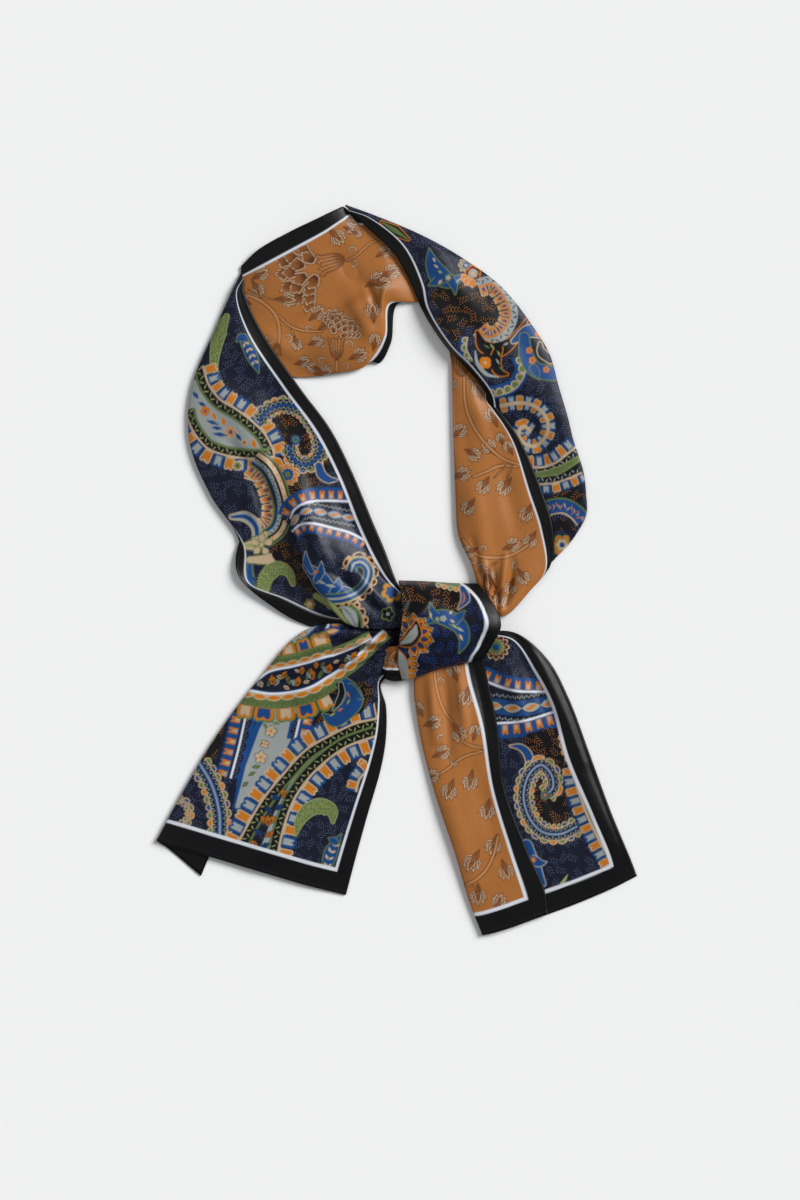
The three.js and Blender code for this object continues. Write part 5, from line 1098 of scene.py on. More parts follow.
RIGHT_TAIL_NAVY_PRINT = [
    ("flower", (66.2, -51.4), 9, 12, ("cream", "brown", "olive", "blue"), 0),
    ("band", (58.2, -90.8, 64.8, -90.8, 79.8, -92.4, 92.2, -91.1, 106.2, -87.4), (("stripe", -11,
     12, "ground"), ("dashes", 6.2, 8.6, 1.8, "pale"), ("dashes", -8.8, -6.4, 1.8, "pale"),
     ("stripe", -5, 5, "blue"), ("chain", -3, 3, 12.6, "pale", BLACK, "orange"))),
    ("band", (55.6, -72.4, 60.8, -74.8, 78.2, -80.4, 103.6, -81.2), (("stripe", 0, 9, "blue"),
     ("fringe", 0.8, 8.2, 7.4, WINDOWS), WHITE_EDGE)),
    ("band", (60.9, -102.4, 67.6, -102.2, 83.8, -100.8, 108.9, -93.4), (("stripe", -10.4, 0,
     "blue"), ("fringe", -0.8, -9.2, 7.4, WINDOWS), WHITE_EDGE)),
    ("patch", (91.6, -114.8, 106.2, -116.8, 112.9, -133.4), (14, 24, 14)),
    ("patch", (98.9, -140.1, 100.9, -153.4, 106.2, -163.4), (20, 26, 16)),
    ("stroke", (75.6, -117.4, 82.2, -118.1, 86.9, -122.1, 88.9, -128.1), (0.6, 3.6, 5, 5), "blue",
     "cream", 0.7),
    ("band", (120.9, -170.8, 108.9, -176.1, 97.6, -174.8, 89.3, -166.8, 84.6, -151.8, 88, -136.8,
     96.1, -130, 102.9, -136.1, 104.2, -144.8, 99.6, -150.1), (("stripe", -3.9, 3.9, BLACK),
     ("dashes", 1.5, 3.6, 1.9, "pale"), ("dashes", -3.6, -1.5, 1.9, "pale"), ("stripe", -1.3, 1.3,
     "blue"), ("stripe", -0.5, 0.5, "pale"), ("scallops", 3.6, 7, 5, FOUR_INKS),
     ("scallops", -3.6, -7.2, 5, FOUR_INKS))),
    ("disc", (98.9, -150.1), 3, ("olive", "blue", "orange")),
    ("band", (110.2, -109.4, 112.2, -120.1, 116.2, -128.1), (("scallops", 0.4, 4, 4.8, ("orange",
     "olive")), ("scallops", -0.4, -3.2, 4.8, ("orange", "olive")))),
    ("band", (118.2, -130.8, 119.6, -141.4, 123.6, -154.8, 132.9, -176.1, 145.6, -198.8),
     (("stripe", 0, 14, BLACK), ("dashes", 1.4, 5.2, 3, "olive_light"), ("stripe", 6.2, 8.4,
     "olive"), ("fringe", -0.8, -8.6, 6.4, TULIPS), ("stripe", -0.9, 0.9, "cream"))),
    ("stroke", (116.2, -124.1, 118.2, -130.8, 119.6, -136.1), (1.5, 6, 1.5), "orange", "cream",
     0.8),
    ("stroke", (86.2, -184.1, 90.2, -194.8, 98.2, -209.4), (8, 9, 2), "blue", "pale", 0.7),
    ("stroke", (99.6, -194.8, 95.6, -195.4, 90.9, -193.4), (0.4, 5, 6), "blue", "pale", 0.7),
    ("stroke", (86.9, -182.1, 88.2, -188.1), (4, 6), "blue"),
    ("flower", (90.9, -193.4), 2, 5, ("orange", "orange", None, "cream"), 0),
    ("stroke", (110.2, -209.4, 114.2, -202.8), (3, 0.4), "olive_light"),
]

TUCK_SECTIONS = [
    [-7.4, -71.8, 2.2, -9.4, -68.1, 4.4, -10.1, -64.1, 5.6, -9.8, -59.4, 6.2, -8.4, -55.1, 6.6,
     -5.8, -51.8, 7.4],
    [-5.8, -73.4, 3, -7.1, -69.8, 5.8, -7.4, -65.4, 7.4, -7.1, -60.1, 8.4, -5.8, -54.8, 9.2,
     -3.8, -51.1, 10],
    [-2.4, -74.1, 3.4, -3.4, -70.4, 6.6, -3.8, -65.8, 8.6, -3.8, -60.1, 9.8, -2.8, -54.8, 11,
     -1.4, -50.8, 12],
    [1.6, -74.1, 3.8, 0.6, -70.4, 7, 0.2, -65.8, 9, 0.2, -60.1, 9.8, 0.6, -54.8, 11,
     0.9, -50.8, 12],
    [5.6, -73.4, 4, 4.9, -70.1, 6.4, 4.6, -65.4, 8, 4.2, -60.1, 9, 3.9, -54.8, 10.2,
     3.6, -50.8, 11],
]
TUCK_CREASES = [
    ((-8.4, -65.4), (-0.4, -53.4), 2, 1.7), ((-5.8, -68.1), (0.2, -57.4), 1.8, -1.4),
    ((-9.8, -60.1), (-1.8, -52.1), 1.8, -1.2),
]
TUCK_PRINT = [
    ("buds", (-5.1, -59.4, -140, 5.4)), ("stem", (1.6, -53.4, -3.1, -56.1, -5.8, -62.8), 1.2),
    ("buds", (-0.4, -61.4, -100, 4.4)),
]

STRETCHES = {
    "left_side": {
        "flat": [0, 15, 48, 74, 84, 96, 118, 135, 143, 150],
        "face": "navy",
        "shown": (0, 6),
        "hems": ("start", "end"),
        "held": "folded",
        "fineness": 1.22,
        "sections": LEFT_SIDE_SECTIONS,
        "creases": LEFT_SIDE_CREASES,
        "print": LEFT_SIDE_PRINT,
    },
    "left_tail": {
        "flat": [0, 42, 85, 112, 122, 128, 134, 150],
        "face": "navy",
        "shown": (0, 5),
        "hems": ("start", "end", "tail"),
        "held": "gathered",
        "fineness": 1.03,
        "gathers": [
            ((0.05, 0.18), (0.5, 0.2), 0.05, 2.2), ((0.05, 0.4), (0.62, 0.38), 0.05, 2.4),
            ((0.05, 0.6), (0.45, 0.62), 0.04, 1.8), ((0.05, 0.29), (0.55, 0.29), 0.04, -1.8),
            ((0.05, 0.5), (0.5, 0.5), 0.04, -1.6),
        ],
        "sections": LEFT_TAIL_SECTIONS,
        "creases": LEFT_TAIL_CREASES,
        "print": LEFT_TAIL_PRINT,
    },
    "collar": {
        "flat": [0, 15, 45, 75, 105, 124, 133, 142, 150],
        "face": "ochre",
        "shown": (0, 6),
        "hems": ("start", "end"),
        "held": "folded",
        "sections": COLLAR_SECTIONS,
        "creases": COLLAR_CREASES,
        "print": COLLAR_PRINT,
    },
    "right_side_navy": {
        "flat": [0, 15, 45, 75, 100, 115, 120, 150],
        "face": "navy",
        "shown": (0, 5),
        "hems": ("start", "end"),
        "held": "folded",
        "fineness": 1.1,
        "sections": RIGHT_SIDE_NAVY_SECTIONS,
        "creases": RIGHT_SIDE_NAVY_CREASES,
        "print": RIGHT_SIDE_NAVY_PRINT,
    },
    "right_side_ochre": {
        "flat": [0, 15, 48, 80, 104, 113, 118, 150],
        "face": "ochre",
        "shown": (0, 5),
        "hems": ("start", "end"),
        "held": "folded",
        "sections": RIGHT_SIDE_OCHRE_SECTIONS,
        "creases": RIGHT_SIDE_OCHRE_CREASES,
        "print": RIGHT_SIDE_OCHRE_PRINT,
    },
    "knot_band": {
        "flat": [18, 26, 43, 68, 93, 116, 132],
        "face": "navy",
        "shown": (0, 6),
        "hems": ("tail",),
        "held": "folded",
        "wrapped": 4,
        "sections": KNOT_BAND_SECTIONS,
        "creases": KNOT_BAND_CREASES,
        "print": KNOT_BAND_PRINT,
    },
    "right_tail_ochre": {
        "flat": [0, 15, 30, 42, 46, 50, 62],
        "face": "ochre",
        "shown": (0, 5),
        "hems": ("start", "tail"),
        "held": "folded",
        "sections": RIGHT_TAIL_OCHRE_SECTIONS,
        "creases": RIGHT_TAIL_OCHRE_CREASES,
        "print": RIGHT_TAIL_OCHRE_PRINT,
    },
    "right_tail_navy": {
        "flat": [62, 85, 110, 135, 150],
        "face": "navy",
        "shown": (0, 4),
        "hems": ("end", "tail"),
        "held": "laid",
        "sections": RIGHT_TAIL_NAVY_SECTIONS,
        "creases": RIGHT_TAIL_NAVY_CREASES,
        "print": RIGHT_TAIL_NAVY_PRINT,
    },
    "tuck": {
        "flat": [0, 7, 15, 24, 33, 42],
        "face": "ochre",
        "shown": (0, 5),
        "hems": ("start",),
        "held": "folded",
        "sections": TUCK_SECTIONS,
        "creases": TUCK_CREASES,
        "print": TUCK_PRINT,
    },
}

# ------------------------------------------------------------------------------- the cloth


FOLDED_STEP = 1.4  # between the columns of points where the cloth is folded under, in millimetres
ROW_STRETCH = 1.15  # the rows of points lie this much further apart than the columns
SMOOTHING = 24  # places looked up between two sections, to space the rows evenly
LOWEST = 0.4  # the cloth's middle over the surface that it lies on, in millimetres
LOWEST_TOP, LOWEST_BOTTOM = 0.12, 0.05  # the same for its two faces
HEM_FULLNESS = 0.22  # what a turned hem adds to half the cloth's thickness, in millimetres
HEM_ROUNDING = 0.7  # how far in from its edge a hem is rounded, in millimetres


def ridge(u, v, start, end, width):
    """How high a soft ridge stands at each place, from 0 to 1, on the line from start to end."""
    (u0, v0), (u1, v1) = start, end
    du, dv = u1 - u0, v1 - v0
    along = np.clip(((u - u0) * du + (v - v0) * dv) / (du * du + dv * dv), 0, 1)
    off = np.hypot(u - u0 - along * du, v - v0 - along * dv) / width
    return np.sin(np.pi * (0.12 + 0.76 * along)) * np.exp(-off * off)


def loft(stretch, fine):
    """The middle of a stretch's cloth as a grid of points, its rows running across the ribbon."""
    sections = np.array([np.reshape(section, (-1, 3)) for section in stretch["sections"]], float)
    count, across, _ = sections.shape
    t = np.linspace(0, count - 1, (count - 1) * SMOOTHING + 1)
    rails = np.stack([through(sections[:, j], t) for j in range(across)], 1)
    steps = np.linalg.norm(np.diff(rails, axis=0), axis=2).max(1)
    travelled = np.concatenate([[0], np.cumsum(steps)])
    rows = 3 * max(4, int(travelled[-1] / (fine * ROW_STRETCH) / 3)) + 1
    t_rows = np.interp(np.linspace(0, travelled[-1], rows), travelled, t)
    rails = np.stack([through(sections[:, j], t_rows) for j in range(across)], 1)

    widths = np.linalg.norm(np.diff(rails, axis=1), axis=2).max(0)
    low, high = stretch["shown"]
    t_columns = [np.zeros(1)]
    for k, width in enumerate(widths):
        step = fine if low <= k < high else FOLDED_STEP
        parts = max(3, 3 * math.ceil(width / step / 3))
        t_columns.append(k + np.linspace(0, 1, parts + 1)[1:])
    t_columns = np.concatenate(t_columns)
    mid = np.stack([through(row, t_columns) for row in rails])
    return mid, t_rows, t_columns


def gather(mid, t_rows, t_columns, stretch):
    """Adds a stretch's gathers and creases to the heights of its grid."""
    length, width = t_rows[-1], t_columns[-1]
    r, c = t_rows[:, None] / length, t_columns[None, :] / width
    low, high = stretch["shown"]
    inside = np.minimum(t_columns - low, high - t_columns) / 0.45
    on = np.clip(inside, 0, 1)
    on = (on * on * (3 - 2 * on))[None, :]
    for start, end, spread, height in stretch.get("gathers", ()):
        mid[..., 2] += height * ridge(r, c, start, end, spread)
    for start, end, spread, height in stretch["creases"]:
        mid[..., 2] += on * height * ridge(mid[..., 0], mid[..., 1], start, end, spread)
    mid[..., 2] = np.maximum(mid[..., 2], LOWEST)


def unit(v):
    """Vectors at a length of 1."""
    return v / np.maximum(np.linalg.norm(v, axis=-1, keepdims=True), 1e-12)


def distance_along(grid, axis):
    """How far each point of a grid is from the grid's first one along an axis."""
    steps = np.linalg.norm(np.diff(grid, axis=axis), axis=2)
    zero = np.zeros_like(np.take(steps, [0], axis))
    return np.concatenate([zero, np.cumsum(steps, axis)], axis)


def stitch(fine, coarse, flip):
    """Triangles between a line of points and every third one of them on the other side."""
    faces = []
    for j in range(len(coarse) - 1):
        a, b = coarse[j], coarse[j + 1]
        f = fine[3 * j : 3 * j + 4]
        faces += [(f[0], f[1], a), (f[1], f[2], a), (f[2], b, a), (f[2], f[3], b)]
    return [face[::-1] for face in faces] if flip else faces


def shell(name, mid, v, sizes, hems, wrapped):
    """A thin closed shell of cloth around a grid, its printed face above where it shows."""
    rows, columns, _ = mid.shape
    along = np.gradient(mid, axis=0)
    across = np.gradient(mid, axis=1)
    normal = unit(np.cross(across, along))
    turned = normal[rows // 2, :, 2][v < v.max() * 0.6].mean() < 0
    if turned:
        normal = -normal

    # The turned hems at the ribbon's edges are a little fuller than the cloth between them.
    half = np.full((rows, columns), sizes.thickness * 500.0)
    across_mm = distance_along(mid, 1)
    along_mm = distance_along(mid, 0)
    hem = sizes.hem_roll * 1000
    for edge, from_edge in (
        ("start", across_mm),
        ("end", across_mm[:, -1:] - across_mm),
        ("tail", along_mm[-1:] - along_mm),
    ):
        if edge not in hems:
            continue
        e = np.clip(from_edge / hem, 0, 1.6)
        half += HEM_FULLNESS * np.exp(-(((e - 0.55) / 0.5) ** 2))
        round_off = np.clip(from_edge / HEM_ROUNDING, 0, 1)
        half *= 0.35 + 0.65 * np.sqrt(1 - (1 - round_off) ** 2)
    top = mid + normal * half[..., None]
    bottom = (mid - normal * half[..., None])[::3, ::3]
    bottom[..., 2] = np.maximum(bottom[..., 2], LOWEST_BOTTOM)
    top[..., 2] = np.maximum(top[..., 2], LOWEST_TOP)

    points = np.concatenate([top.reshape(-1, 3), bottom.reshape(-1, 3)]) * MM
    index = np.arange(rows * columns).reshape(rows, columns)
    low_rows, low_columns = bottom.shape[:2]
    under = rows * columns + np.arange(low_rows * low_columns).reshape(low_rows, low_columns)

    def quads(i):
        return np.stack([i[:-1, :-1], i[:-1, 1:], i[1:, 1:], i[1:, :-1]], -1).reshape(-1, 4)

    upper, lower = quads(index), quads(under)[:, ::-1]
    if turned:
        upper, lower = upper[:, ::-1], lower[:, ::-1]
    rims = [
        (index[0], under[0], not turned),
        (index[-1], under[-1], turned),
        (index[:, 0], under[:, 0], turned),
        (index[:, -1], under[:, -1], not turned),
    ]
    rim = np.array([face for line in rims for face in stitch(*line)])
    corners = np.concatenate([upper.ravel(), lower.ravel(), rim.ravel()])
    sides = np.concatenate([np.full(len(upper) + len(lower), 4), np.full(len(rim), 3)])

    mesh = bpy.data.meshes.new(name)
    mesh.vertices.add(len(points))
    mesh.vertices.foreach_set("co", points.ravel())
    mesh.loops.add(len(corners))
    mesh.loops.foreach_set("vertex_index", corners.astype(np.int32))
    mesh.polygons.add(len(sides))
    starts = np.concatenate([[0], np.cumsum(sides)[:-1]])
    mesh.polygons.foreach_set("loop_start", starts.astype(np.int32))
    mesh.polygons.foreach_set("loop_total", sides.astype(np.int32))
    mesh.polygons.foreach_set("use_smooth", np.ones(len(sides), bool))
    back = np.zeros(len(sides), np.int32)
    back[len(upper) : len(upper) + len(lower)] = 1
    mesh.polygons.foreach_set("material_index", back)
    mesh.update(calc_edges=True)

    # A flat map of both faces, the printed one the larger, with the rims in thin strips.
    r = np.linspace(0.005, 0.995, rows)[:, None] + np.zeros((1, columns))
    c = across_mm.mean(0)[None, :] / across_mm.mean(0)[-1] + np.zeros((rows, 1))
    upper_place = np.stack([r, 0.005 + 0.785 * c], -1).reshape(-1, 2)
    lower_place = np.stack([r[::3, ::3], 0.80 + 0.17 * c[::3, ::3]], -1).reshape(-1, 2)
    uv = np.concatenate([upper_place, lower_place])[corners]
    first = 4 * (len(upper) + len(lower))
    for strip, (line, low_line, _) in enumerate(rims):
        span = slice(first, first + 12 * (len(low_line) - 1))
        ids = corners[span]
        along_line = np.zeros(len(points))
        along_line[line] = np.linspace(0.01, 0.99, len(line))
        along_line[low_line] = np.linspace(0.01, 0.99, len(low_line))
        height = 0.975 + 0.006 * strip + 0.004 * (ids >= rows * columns)
        uv[span] = np.stack([along_line[ids], height], -1)
        first = span.stop
    layer = mesh.uv_layers.new(name="OFBake")
    layer.data.foreach_set("uv", uv.astype(np.float32).ravel())

    # Where each point is on the flat ribbon: along it, across it, and how far from the tail's end.
    flat = np.zeros((rows, columns, 3))
    flat[..., 0] = along_mm.mean(1)[:, None]
    flat[..., 1] = v[None, :]
    flat[..., 2] = along_mm[-1:] - along_mm + wrapped if "tail" in hems else FAR_FROM_END
    cloth = np.concatenate([flat.reshape(-1, 3), flat[::3, ::3].reshape(-1, 3)]) * MM
    at = mesh.attributes.new("cloth", "FLOAT_VECTOR", "POINT")
    at.data.foreach_set("vector", cloth.astype(np.float32).ravel())
    return mesh, top, flat


def add_object(name, mesh):
    """A mesh as an object in the scene."""
    piece = bpy.data.objects.new(name, mesh)
    bpy.context.scene.collection.objects.link(piece)
    return piece


def print_cloth(mesh, top, flat, stretch, inks, sizes):
    """Prints a stretch's upper face, its border and its white line onto the mesh."""
    x, y = top[..., 0].ravel(), top[..., 1].ravel()
    face = Print(x, y, inks, "ground" if stretch["face"] == "navy" else "ochre")
    for kind, *rest in stretch["print"]:
        getattr(face, kind)(*rest)
    v, end = flat[..., 1].ravel(), flat[..., 2].ravel()
    width = sizes.ribbon_width * 1000
    border, line = sizes.border * 1000, sizes.white_line * 500
    inward = np.minimum(np.minimum(v, width - v), end)
    everywhere = np.arange(len(x))
    face.lay(everywhere, cover(inward - border - line), "white_line")
    face.lay(everywhere, cover(inward - border + line), "border")
    colour = np.ones((len(mesh.vertices), 4))
    colour[: len(x), :3] = face.colour
    colour[len(x) :, :3] = inks["border"]
    fern = np.zeros((len(mesh.vertices), 4))
    fern[: len(x)] = face.fern
    for name, values in (("print", colour), ("fern", fern)):
        at = mesh.color_attributes.new(name, "FLOAT_COLOR", "POINT")
        at.data.foreach_set("color", values.astype(np.float32).ravel())


# ------------------------------------------------------------------------------- finishes


FERN_LENGTH = 0.0078  # from one fern to the next
FERN_PITCH = 0.0021  # from one pair of leaves to the next


class Nodes:
    """A material's nodes, added one call at a time."""

    def __init__(self, material):
        material.use_nodes = True
        self.tree = material.node_tree
        self.tree.nodes.clear()

    def add(self, kind, inputs=None, **settings):
        node = self.tree.nodes.new(kind)
        for key, value in settings.items():
            setattr(node, key, value)
        for key, value in (inputs or {}).items():
            socket = node.inputs[key]
            if isinstance(value, bpy.types.NodeSocket):
                self.tree.links.new(value, socket)
            else:
                socket.default_value = value
        return node.outputs

    def sum(self, operation, a, b=0.0, c=0.0):
        return self.add("ShaderNodeMath", {0: a, 1: b, 2: c}, operation=operation)[0]

    def mix(self, share, a, b):
        out = self.add(
            "ShaderNodeMix", {0: share, 6: a, 7: b}, data_type="RGBA", clamp_factor=True
        )
        return out[2]


def silk(name, sizes, colour_of):
    """Printed silk satin: the print, a slight unevenness of dye, a fine twill and soft slubs."""
    material = bpy.data.materials.new(name)
    n = Nodes(material)
    cloth = n.add("ShaderNodeAttribute", attribute_name="cloth")[1]
    parts = n.add("ShaderNodeSeparateXYZ", {0: cloth})
    along, across = parts[0], parts[1]

    dye = n.add("ShaderNodeTexNoise", {"Vector": cloth, "Scale": 42.0, "Detail": 3.0})[0]
    slubs = n.add("ShaderNodeMapping", {"Vector": cloth, "Scale": (60.0, 900.0, 1.0)})[0]
    slub = n.add("ShaderNodeTexNoise", {"Vector": slubs, "Scale": 1.0, "Detail": 2.0})[0]
    base = colour_of(n, along, across, parts[2])
    shade = n.sum("MULTIPLY_ADD", dye, 0.18, 0.60)
    shade = n.sum("MULTIPLY_ADD", slub, 0.10, n.sum("SUBTRACT", shade, 0.05))
    grey = n.add("ShaderNodeCombineXYZ", {0: shade, 1: shade, 2: shade})[0]
    dyed = n.add("ShaderNodeVectorMath", {0: base, 1: grey}, operation="MULTIPLY")[0]

    weft = n.sum("MULTIPLY", n.sum("ADD", along, across), 2 * math.pi / sizes.twill)
    twill = n.sum("SINE", weft)
    folds = n.add("ShaderNodeTexNoise", {"Vector": cloth, "Scale": 55.0, "Detail": 2.0})[0]
    height = n.sum("MULTIPLY_ADD", twill, 0.5, n.sum("MULTIPLY", slub, 1.1))
    fine = n.add("ShaderNodeBump", {"Strength": 0.10, "Distance": 0.00004, "Height": height})[0]
    soft = n.add(
        "ShaderNodeBump", {"Strength": 0.35, "Distance": 0.0009, "Height": folds, "Normal": fine}
    )[0]
    rough = n.sum("MULTIPLY_ADD", dye, 0.14, 0.34)
    shader = n.add(
        "ShaderNodeBsdfPrincipled",
        {
            "Base Color": dyed,
            "Roughness": rough,
            "Normal": soft,
            "Sheen Weight": 0.008,
            "Sheen Roughness": 0.35,
            "Sheen Tint": (0.85, 0.88, 1.0, 1.0),
            "Specular IOR Level": 0.2,
        },
    )[0]
    n.add("ShaderNodeOutputMaterial", {0: shader})
    return material


def printed(n, *_):
    """The inks laid on the printed face, with ferns on the grounds that they leave bare."""
    ink = n.add("ShaderNodeAttribute", attribute_name="print")[0]
    fern = n.add("ShaderNodeAttribute", attribute_name="fern")
    place = n.add("ShaderNodeTexCoord")[3]
    cells = n.add(
        "ShaderNodeTexVoronoi",
        {"Vector": place, "Scale": 1 / FERN_LENGTH, "Randomness": 0.75},
        voronoi_dimensions="2D",
    )
    off = n.add("ShaderNodeVectorMath", {0: place, 1: cells[2]}, operation="SUBTRACT")[0]
    chance_of_turn = n.add("ShaderNodeSeparateXYZ", {0: cells[1]})[0]
    turn = n.sum("MULTIPLY", chance_of_turn, 2 * math.pi)
    turned = n.add("ShaderNodeVectorRotate", {"Vector": off, "Angle": turn}, rotation_type="Z_AXIS")
    laid = n.add("ShaderNodeSeparateXYZ", {0: turned[0]})
    wing = n.sum("ABSOLUTE", laid[1])
    row = n.sum("MULTIPLY_ADD", wing, -0.95, laid[0])
    row = n.sum("FRACT", n.sum("MULTIPLY", row, 1 / FERN_PITCH))
    leaf = n.sum("LESS_THAN", n.sum("ABSOLUTE", n.sum("SUBTRACT", row, 0.5)), 0.125)
    leaf = n.sum("MULTIPLY", leaf, n.sum("GREATER_THAN", wing, 0.0003))
    tip = n.sum("MULTIPLY_ADD", laid[0], -0.12, 0.0021)
    leaf = n.sum("MULTIPLY", leaf, n.sum("LESS_THAN", wing, tip))
    leaf = n.sum("MULTIPLY", leaf, n.sum("LESS_THAN", n.sum("ABSOLUTE", laid[0]), 0.0037))
    shown = n.sum("GREATER_THAN", fern[3], 0.6)
    return n.mix(n.sum("MULTIPLY", n.sum("MULTIPLY", leaf, shown), 0.9), ink, fern[0])


def bordered(ground, motif, inks, sizes):
    """The face that lies below: its ground, a strewn ornament, the white line and the border."""

    def colour_of(n, along, across, end):
        place = n.add("ShaderNodeCombineXYZ", {0: along, 1: across})[0]
        cells = n.add("ShaderNodeTexVoronoi", {"Vector": place, "Scale": 46.0, "Randomness": 0.8})
        petals = n.add("ShaderNodeTexNoise", {"Vector": place, "Scale": 260.0})[0]
        gap = n.sum("MULTIPLY_ADD", petals, 0.25, cells[0])
        ring = n.sum("LESS_THAN", n.sum("ABSOLUTE", n.sum("SUBTRACT", gap, 0.36)), 0.03)
        heart = n.sum("LESS_THAN", gap, 0.27)
        colour = n.mix(ring, (*inks[ground], 1), (*inks[motif[0]], 1))
        colour = n.mix(heart, colour, (*inks[motif[1]], 1))
        other = n.sum("SUBTRACT", sizes.ribbon_width, across)
        inward = n.sum("MINIMUM", n.sum("MINIMUM", across, other), end)
        line = n.sum("LESS_THAN", inward, sizes.border + sizes.white_line / 2)
        border = n.sum("LESS_THAN", inward, sizes.border - sizes.white_line / 2)
        colour = n.mix(line, colour, (*inks["white_line"], 1))
        return n.mix(border, colour, (*inks["border"], 1))

    return colour_of


def finishes(sizes, colours):
    """Makes the finishes if they are missing, and gives each ink's colour."""
    inks = {name: tuple(getattr(colours, name)) for name in SILK_INKS}
    if "printed_silk" not in bpy.data.materials:
        silk("printed_silk", sizes, printed)
        silk("ochre_below", sizes, bordered("ochre", ("brown", "bud"), inks, sizes))
        silk("navy_below", sizes, bordered("ground", ("fern_grey", "blue"), inks, sizes))
    return inks


def make_stretch(context, name):
    """Builds and prints one stretch of the ribbon."""
    sizes, colours = context.scene.cravat_sizes, context.scene.cravat_colours
    stretch = STRETCHES[name]
    inks = finishes(sizes, colours)
    fine = sizes.cloth_step * 1000 * stretch.get("fineness", 1.0)
    mid, t_rows, t_columns = loft(stretch, fine)
    gather(mid, t_rows, t_columns, stretch)
    v = np.interp(t_columns, np.arange(len(stretch["flat"])), stretch["flat"])
    mesh, top, flat = shell(name, mid, v, sizes, stretch["hems"], stretch.get("wrapped", 0.0))
    mesh.materials.append(bpy.data.materials["printed_silk"])
    below = "ochre_below" if stretch["face"] == "navy" else "navy_below"
    mesh.materials.append(bpy.data.materials[below])
    print_cloth(mesh, top, flat, stretch, inks, sizes)
    piece = add_object("silk_" + name, mesh)
    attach(piece, "root")
    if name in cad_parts:
        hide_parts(name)
    length = distance_along(mid, 0)[-1].mean() * MM
    facets = np.cross(np.diff(mid, axis=0)[:, :-1], np.diff(mid, axis=1)[:-1])
    area = np.linalg.norm(facets, axis=-1).sum() * MM * MM


def make_turns(context):
    """The turns of ribbon hidden in the knot, as one bundle with its folds."""
    sizes, colours = context.scene.cravat_sizes, context.scene.cravat_colours
    finishes(sizes, colours)
    low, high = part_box("knot_core")
    middle = (np.array(low) + np.array(high)) / 2 / MM
    half = (np.array(high) - np.array(low)) / 2 / MM
    rounds, along = 72, 60
    t = np.linspace(0, 2 * math.pi, rounds, endpoint=False)
    points = []
    for s in np.linspace(-1, 1, along):
        taper = (1 - abs(s) ** 5) ** 0.32 if abs(s) < 1 else 0.12
        folds = 1 - 0.045 * (1 + np.cos(7 * t + 1.3 * s)) * (np.sin(t) > -0.8)
        swell = taper * folds
        x = np.full(rounds, middle[0] + s * half[0] * 0.99)
        y = middle[1] + half[1] * 0.97 * np.sign(np.cos(t)) * np.abs(np.cos(t)) ** 0.7 * swell
        z = middle[2] + half[2] * 0.95 * np.sign(np.sin(t)) * np.abs(np.sin(t)) ** 0.8 * swell
        points.append(np.stack([x, y, np.maximum(z, 0.3)], -1))
    points = np.array(points)
    faces = []
    for i in range(along - 1):
        for j in range(rounds):
            k = (j + 1) % rounds
            a, b = i * rounds, (i + 1) * rounds
            faces.append((a + j, b + j, b + k, a + k))
    faces.append(tuple(range(rounds)))
    faces.append(tuple((along - 1) * rounds + j for j in reversed(range(rounds))))
    mesh = bpy.data.meshes.new("knot_turns")
    mesh.from_pydata((points.reshape(-1, 3) * MM).tolist(), [], faces)
    mesh.polygons.foreach_set("use_smooth", np.ones(len(mesh.polygons), bool))
    flat = np.zeros((along, rounds, 3))
    flat[..., 0] = np.linspace(0, 2 * half[0], along)[:, None]
    flat[..., 1] = 30 + np.linspace(0, 90, rounds)[None, :]
    flat[..., 2] = FAR_FROM_END
    at = mesh.attributes.new("cloth", "FLOAT_VECTOR", "POINT")
    at.data.foreach_set("vector", (flat.reshape(-1, 3) * MM).astype(np.float32).ravel())
    mesh.materials.append(bpy.data.materials["navy_below"])
    mesh.update()
    piece = add_object("silk_knot_turns", mesh)
    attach(piece, "root")
    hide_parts("knot_core")


# ------------------------------------------------------------------------------- settings


def length_property(name, description, default):
    """A size in metres."""
    return bpy.props.FloatProperty(
        name=name, description=description, default=default, min=0.0, unit="LENGTH", precision=5
    )


def colour_property(name):
    """The colour of one ink."""
    return bpy.props.FloatVectorProperty(
        name=name.replace("_", " ").capitalize(),
        description="Ink or ground: " + SILK_INKS[name][1],
        default=linear(SILK_INKS[name][0]),
        subtype="COLOR",
        size=3,
        min=0.0,
        max=1.0,
    )


class CravatSizes(bpy.types.PropertyGroup):
    """The cravat's sizes."""

    ribbon_width: length_property("Ribbon width", "Width of the ribbon laid flat", 0.150)
    thickness: length_property("Cloth thickness", "Both faces of silk and the seam", 0.0008)
    border: length_property("Border", "Width of the black border", 0.015)
    white_line: length_property("White line", "Width of the line inside the border", 0.0024)
    hem_roll: length_property("Hem roll", "Width of the fuller edge at a hem", 0.0022)
    twill: length_property("Twill pitch", "From one twill line to the next", 0.0007)
    cloth_step: length_property("Cloth step", "Spacing of the printed face's points", 0.00062)


class CravatColours(bpy.types.PropertyGroup):
    """The inks of the two faces."""

    __annotations__ = {name: colour_property(name) for name in SILK_INKS}


# ------------------------------------------------------------------------------- operators


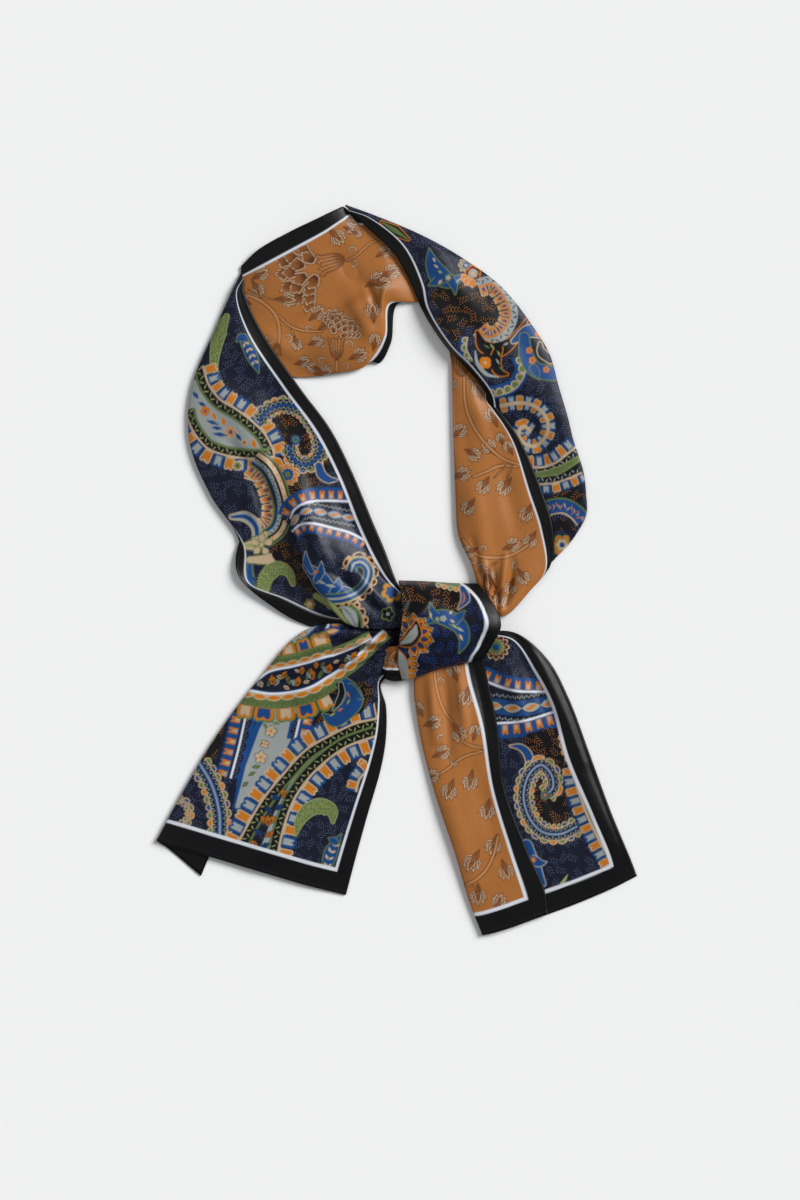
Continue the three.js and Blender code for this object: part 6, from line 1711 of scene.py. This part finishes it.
class CRAVAT_OT_stage(bpy.types.Operator):
    """Sets up the pale floor, the soft lights and the camera"""

    bl_idname = "cravat.stage"
    bl_label = "Stage"

    def execute(self, context):
        scene = context.scene
        world = bpy.data.worlds.new("studio")
        scene.world = world
        world.use_nodes = True
        sky = world.node_tree.nodes["Background"]
        sky.inputs["Color"].default_value = (0.95, 0.97, 1.0, 1.0)
        sky.inputs["Strength"].default_value = 0.24
        scene.view_settings.view_transform = "Standard"

        low, high = CAD_BOX
        middle = ((low[0] + high[0]) / 2, (low[1] + high[1]) / 2)
        floor_mesh = bpy.data.meshes.new("floor")
        reach, below = 6.0, 0.0003
        corners = [(-reach, -reach, 0), (reach, -reach, 0), (reach, reach, 0), (-reach, reach, 0)]
        floor_mesh.from_pydata(corners, [], [(0, 1, 2, 3)])
        floor = add_object("floor", floor_mesh)
        floor.location.z = -below
        material = bpy.data.materials.new("pale_floor")
        n = Nodes(material)
        noise = n.add("ShaderNodeTexNoise", {"Scale": 3.0})[0]
        rough = n.sum("MULTIPLY_ADD", noise, 0.05, 0.86)
        shader = n.add(
            "ShaderNodeBsdfPrincipled",
            {"Base Color": (0.86, 0.86, 0.86, 1.0), "Roughness": rough, "Specular IOR Level": 0.1},
        )[0]
        n.add("ShaderNodeOutputMaterial", {0: shader})
        floor_mesh.materials.append(material)

        for name, place, softness, strength in (
            ("key", (1.0, 0.62, 0.82), 30.0, 3.75),
            ("fill", (-0.7, 0.2, 1.2), 60.0, 0.38),
        ):
            data = bpy.data.lights.new(name, "SUN")
            data.energy, data.angle = strength, math.radians(softness)
            lamp = bpy.data.objects.new(name, data)
            scene.collection.objects.link(lamp)
            lamp.location = place
            lamp.rotation_euler = Vector(place).to_track_quat("Z", "Y").to_euler()

        data = bpy.data.cameras.new("camera")
        data.sensor_fit = "VERTICAL"
        data.sensor_height = 36.0
        data.lens = 108.0
        camera = bpy.data.objects.new("camera", data)
        scene.collection.objects.link(camera)
        right, down, above = 0.0023, 0.0201, 2.4  # of the cravat's middle
        camera.location = (middle[0] + right, middle[1] - down, above)
        scene.camera = camera
        return {"FINISHED"}


class CRAVAT_OT_loop(bpy.types.Operator):
    """Builds the neck loop: its left side, the collar and the right side's two faces"""

    bl_idname = "cravat.loop"
    bl_label = "Neck loop"

    def execute(self, context):
        for name in ("left_side", "collar", "right_side_navy", "right_side_ochre"):
            make_stretch(context, name)
        return {"FINISHED"}


class CRAVAT_OT_tails(bpy.types.Operator):
    """Builds the two tails that hang from the knot"""

    bl_idname = "cravat.tails"
    bl_label = "Tails"

    def execute(self, context):
        for name in ("left_tail", "right_tail_ochre", "right_tail_navy"):
            make_stretch(context, name)
        return {"FINISHED"}


class CRAVAT_OT_knot(bpy.types.Operator):
    """Builds the knot: the band across it, its inner turns and the tuck below it"""

    bl_idname = "cravat.knot"
    bl_label = "Knot"

    def execute(self, context):
        make_stretch(context, "knot_band")
        make_stretch(context, "tuck")
        make_turns(context)
        return {"FINISHED"}


class CRAVAT_PT_panel(bpy.types.Panel):
    """The cravat's sizes, inks and steps"""

    bl_idname = "CRAVAT_PT_panel"
    bl_label = "Silk cravat"
    bl_space_type = "VIEW_3D"
    bl_region_type = "UI"
    bl_category = "Cravat"

    def draw(self, context):
        for group in (context.scene.cravat_sizes, context.scene.cravat_colours):
            box = self.layout.box()
            for name in group.__annotations__:
                box.prop(group, name)
        for operator in OPERATORS:
            self.layout.operator(operator.bl_idname)


OPERATORS = (CRAVAT_OT_stage, CRAVAT_OT_loop, CRAVAT_OT_tails, CRAVAT_OT_knot)
CLASSES = (CravatSizes, CravatColours, *OPERATORS, CRAVAT_PT_panel)


def register():
    for one in CLASSES:
        bpy.utils.register_class(one)
    bpy.types.Scene.cravat_sizes = bpy.props.PointerProperty(type=CravatSizes)
    bpy.types.Scene.cravat_colours = bpy.props.PointerProperty(type=CravatColours)


def unregister():
    del bpy.types.Scene.cravat_colours
    del bpy.types.Scene.cravat_sizes
    for one in reversed(CLASSES):
        bpy.utils.unregister_class(one)


def main():
    register()
    bpy.ops.cravat.stage()
    bpy.ops.cravat.loop()
    bpy.ops.cravat.tails()
    bpy.ops.cravat.knot()


if __name__ == "__main__":
    main()
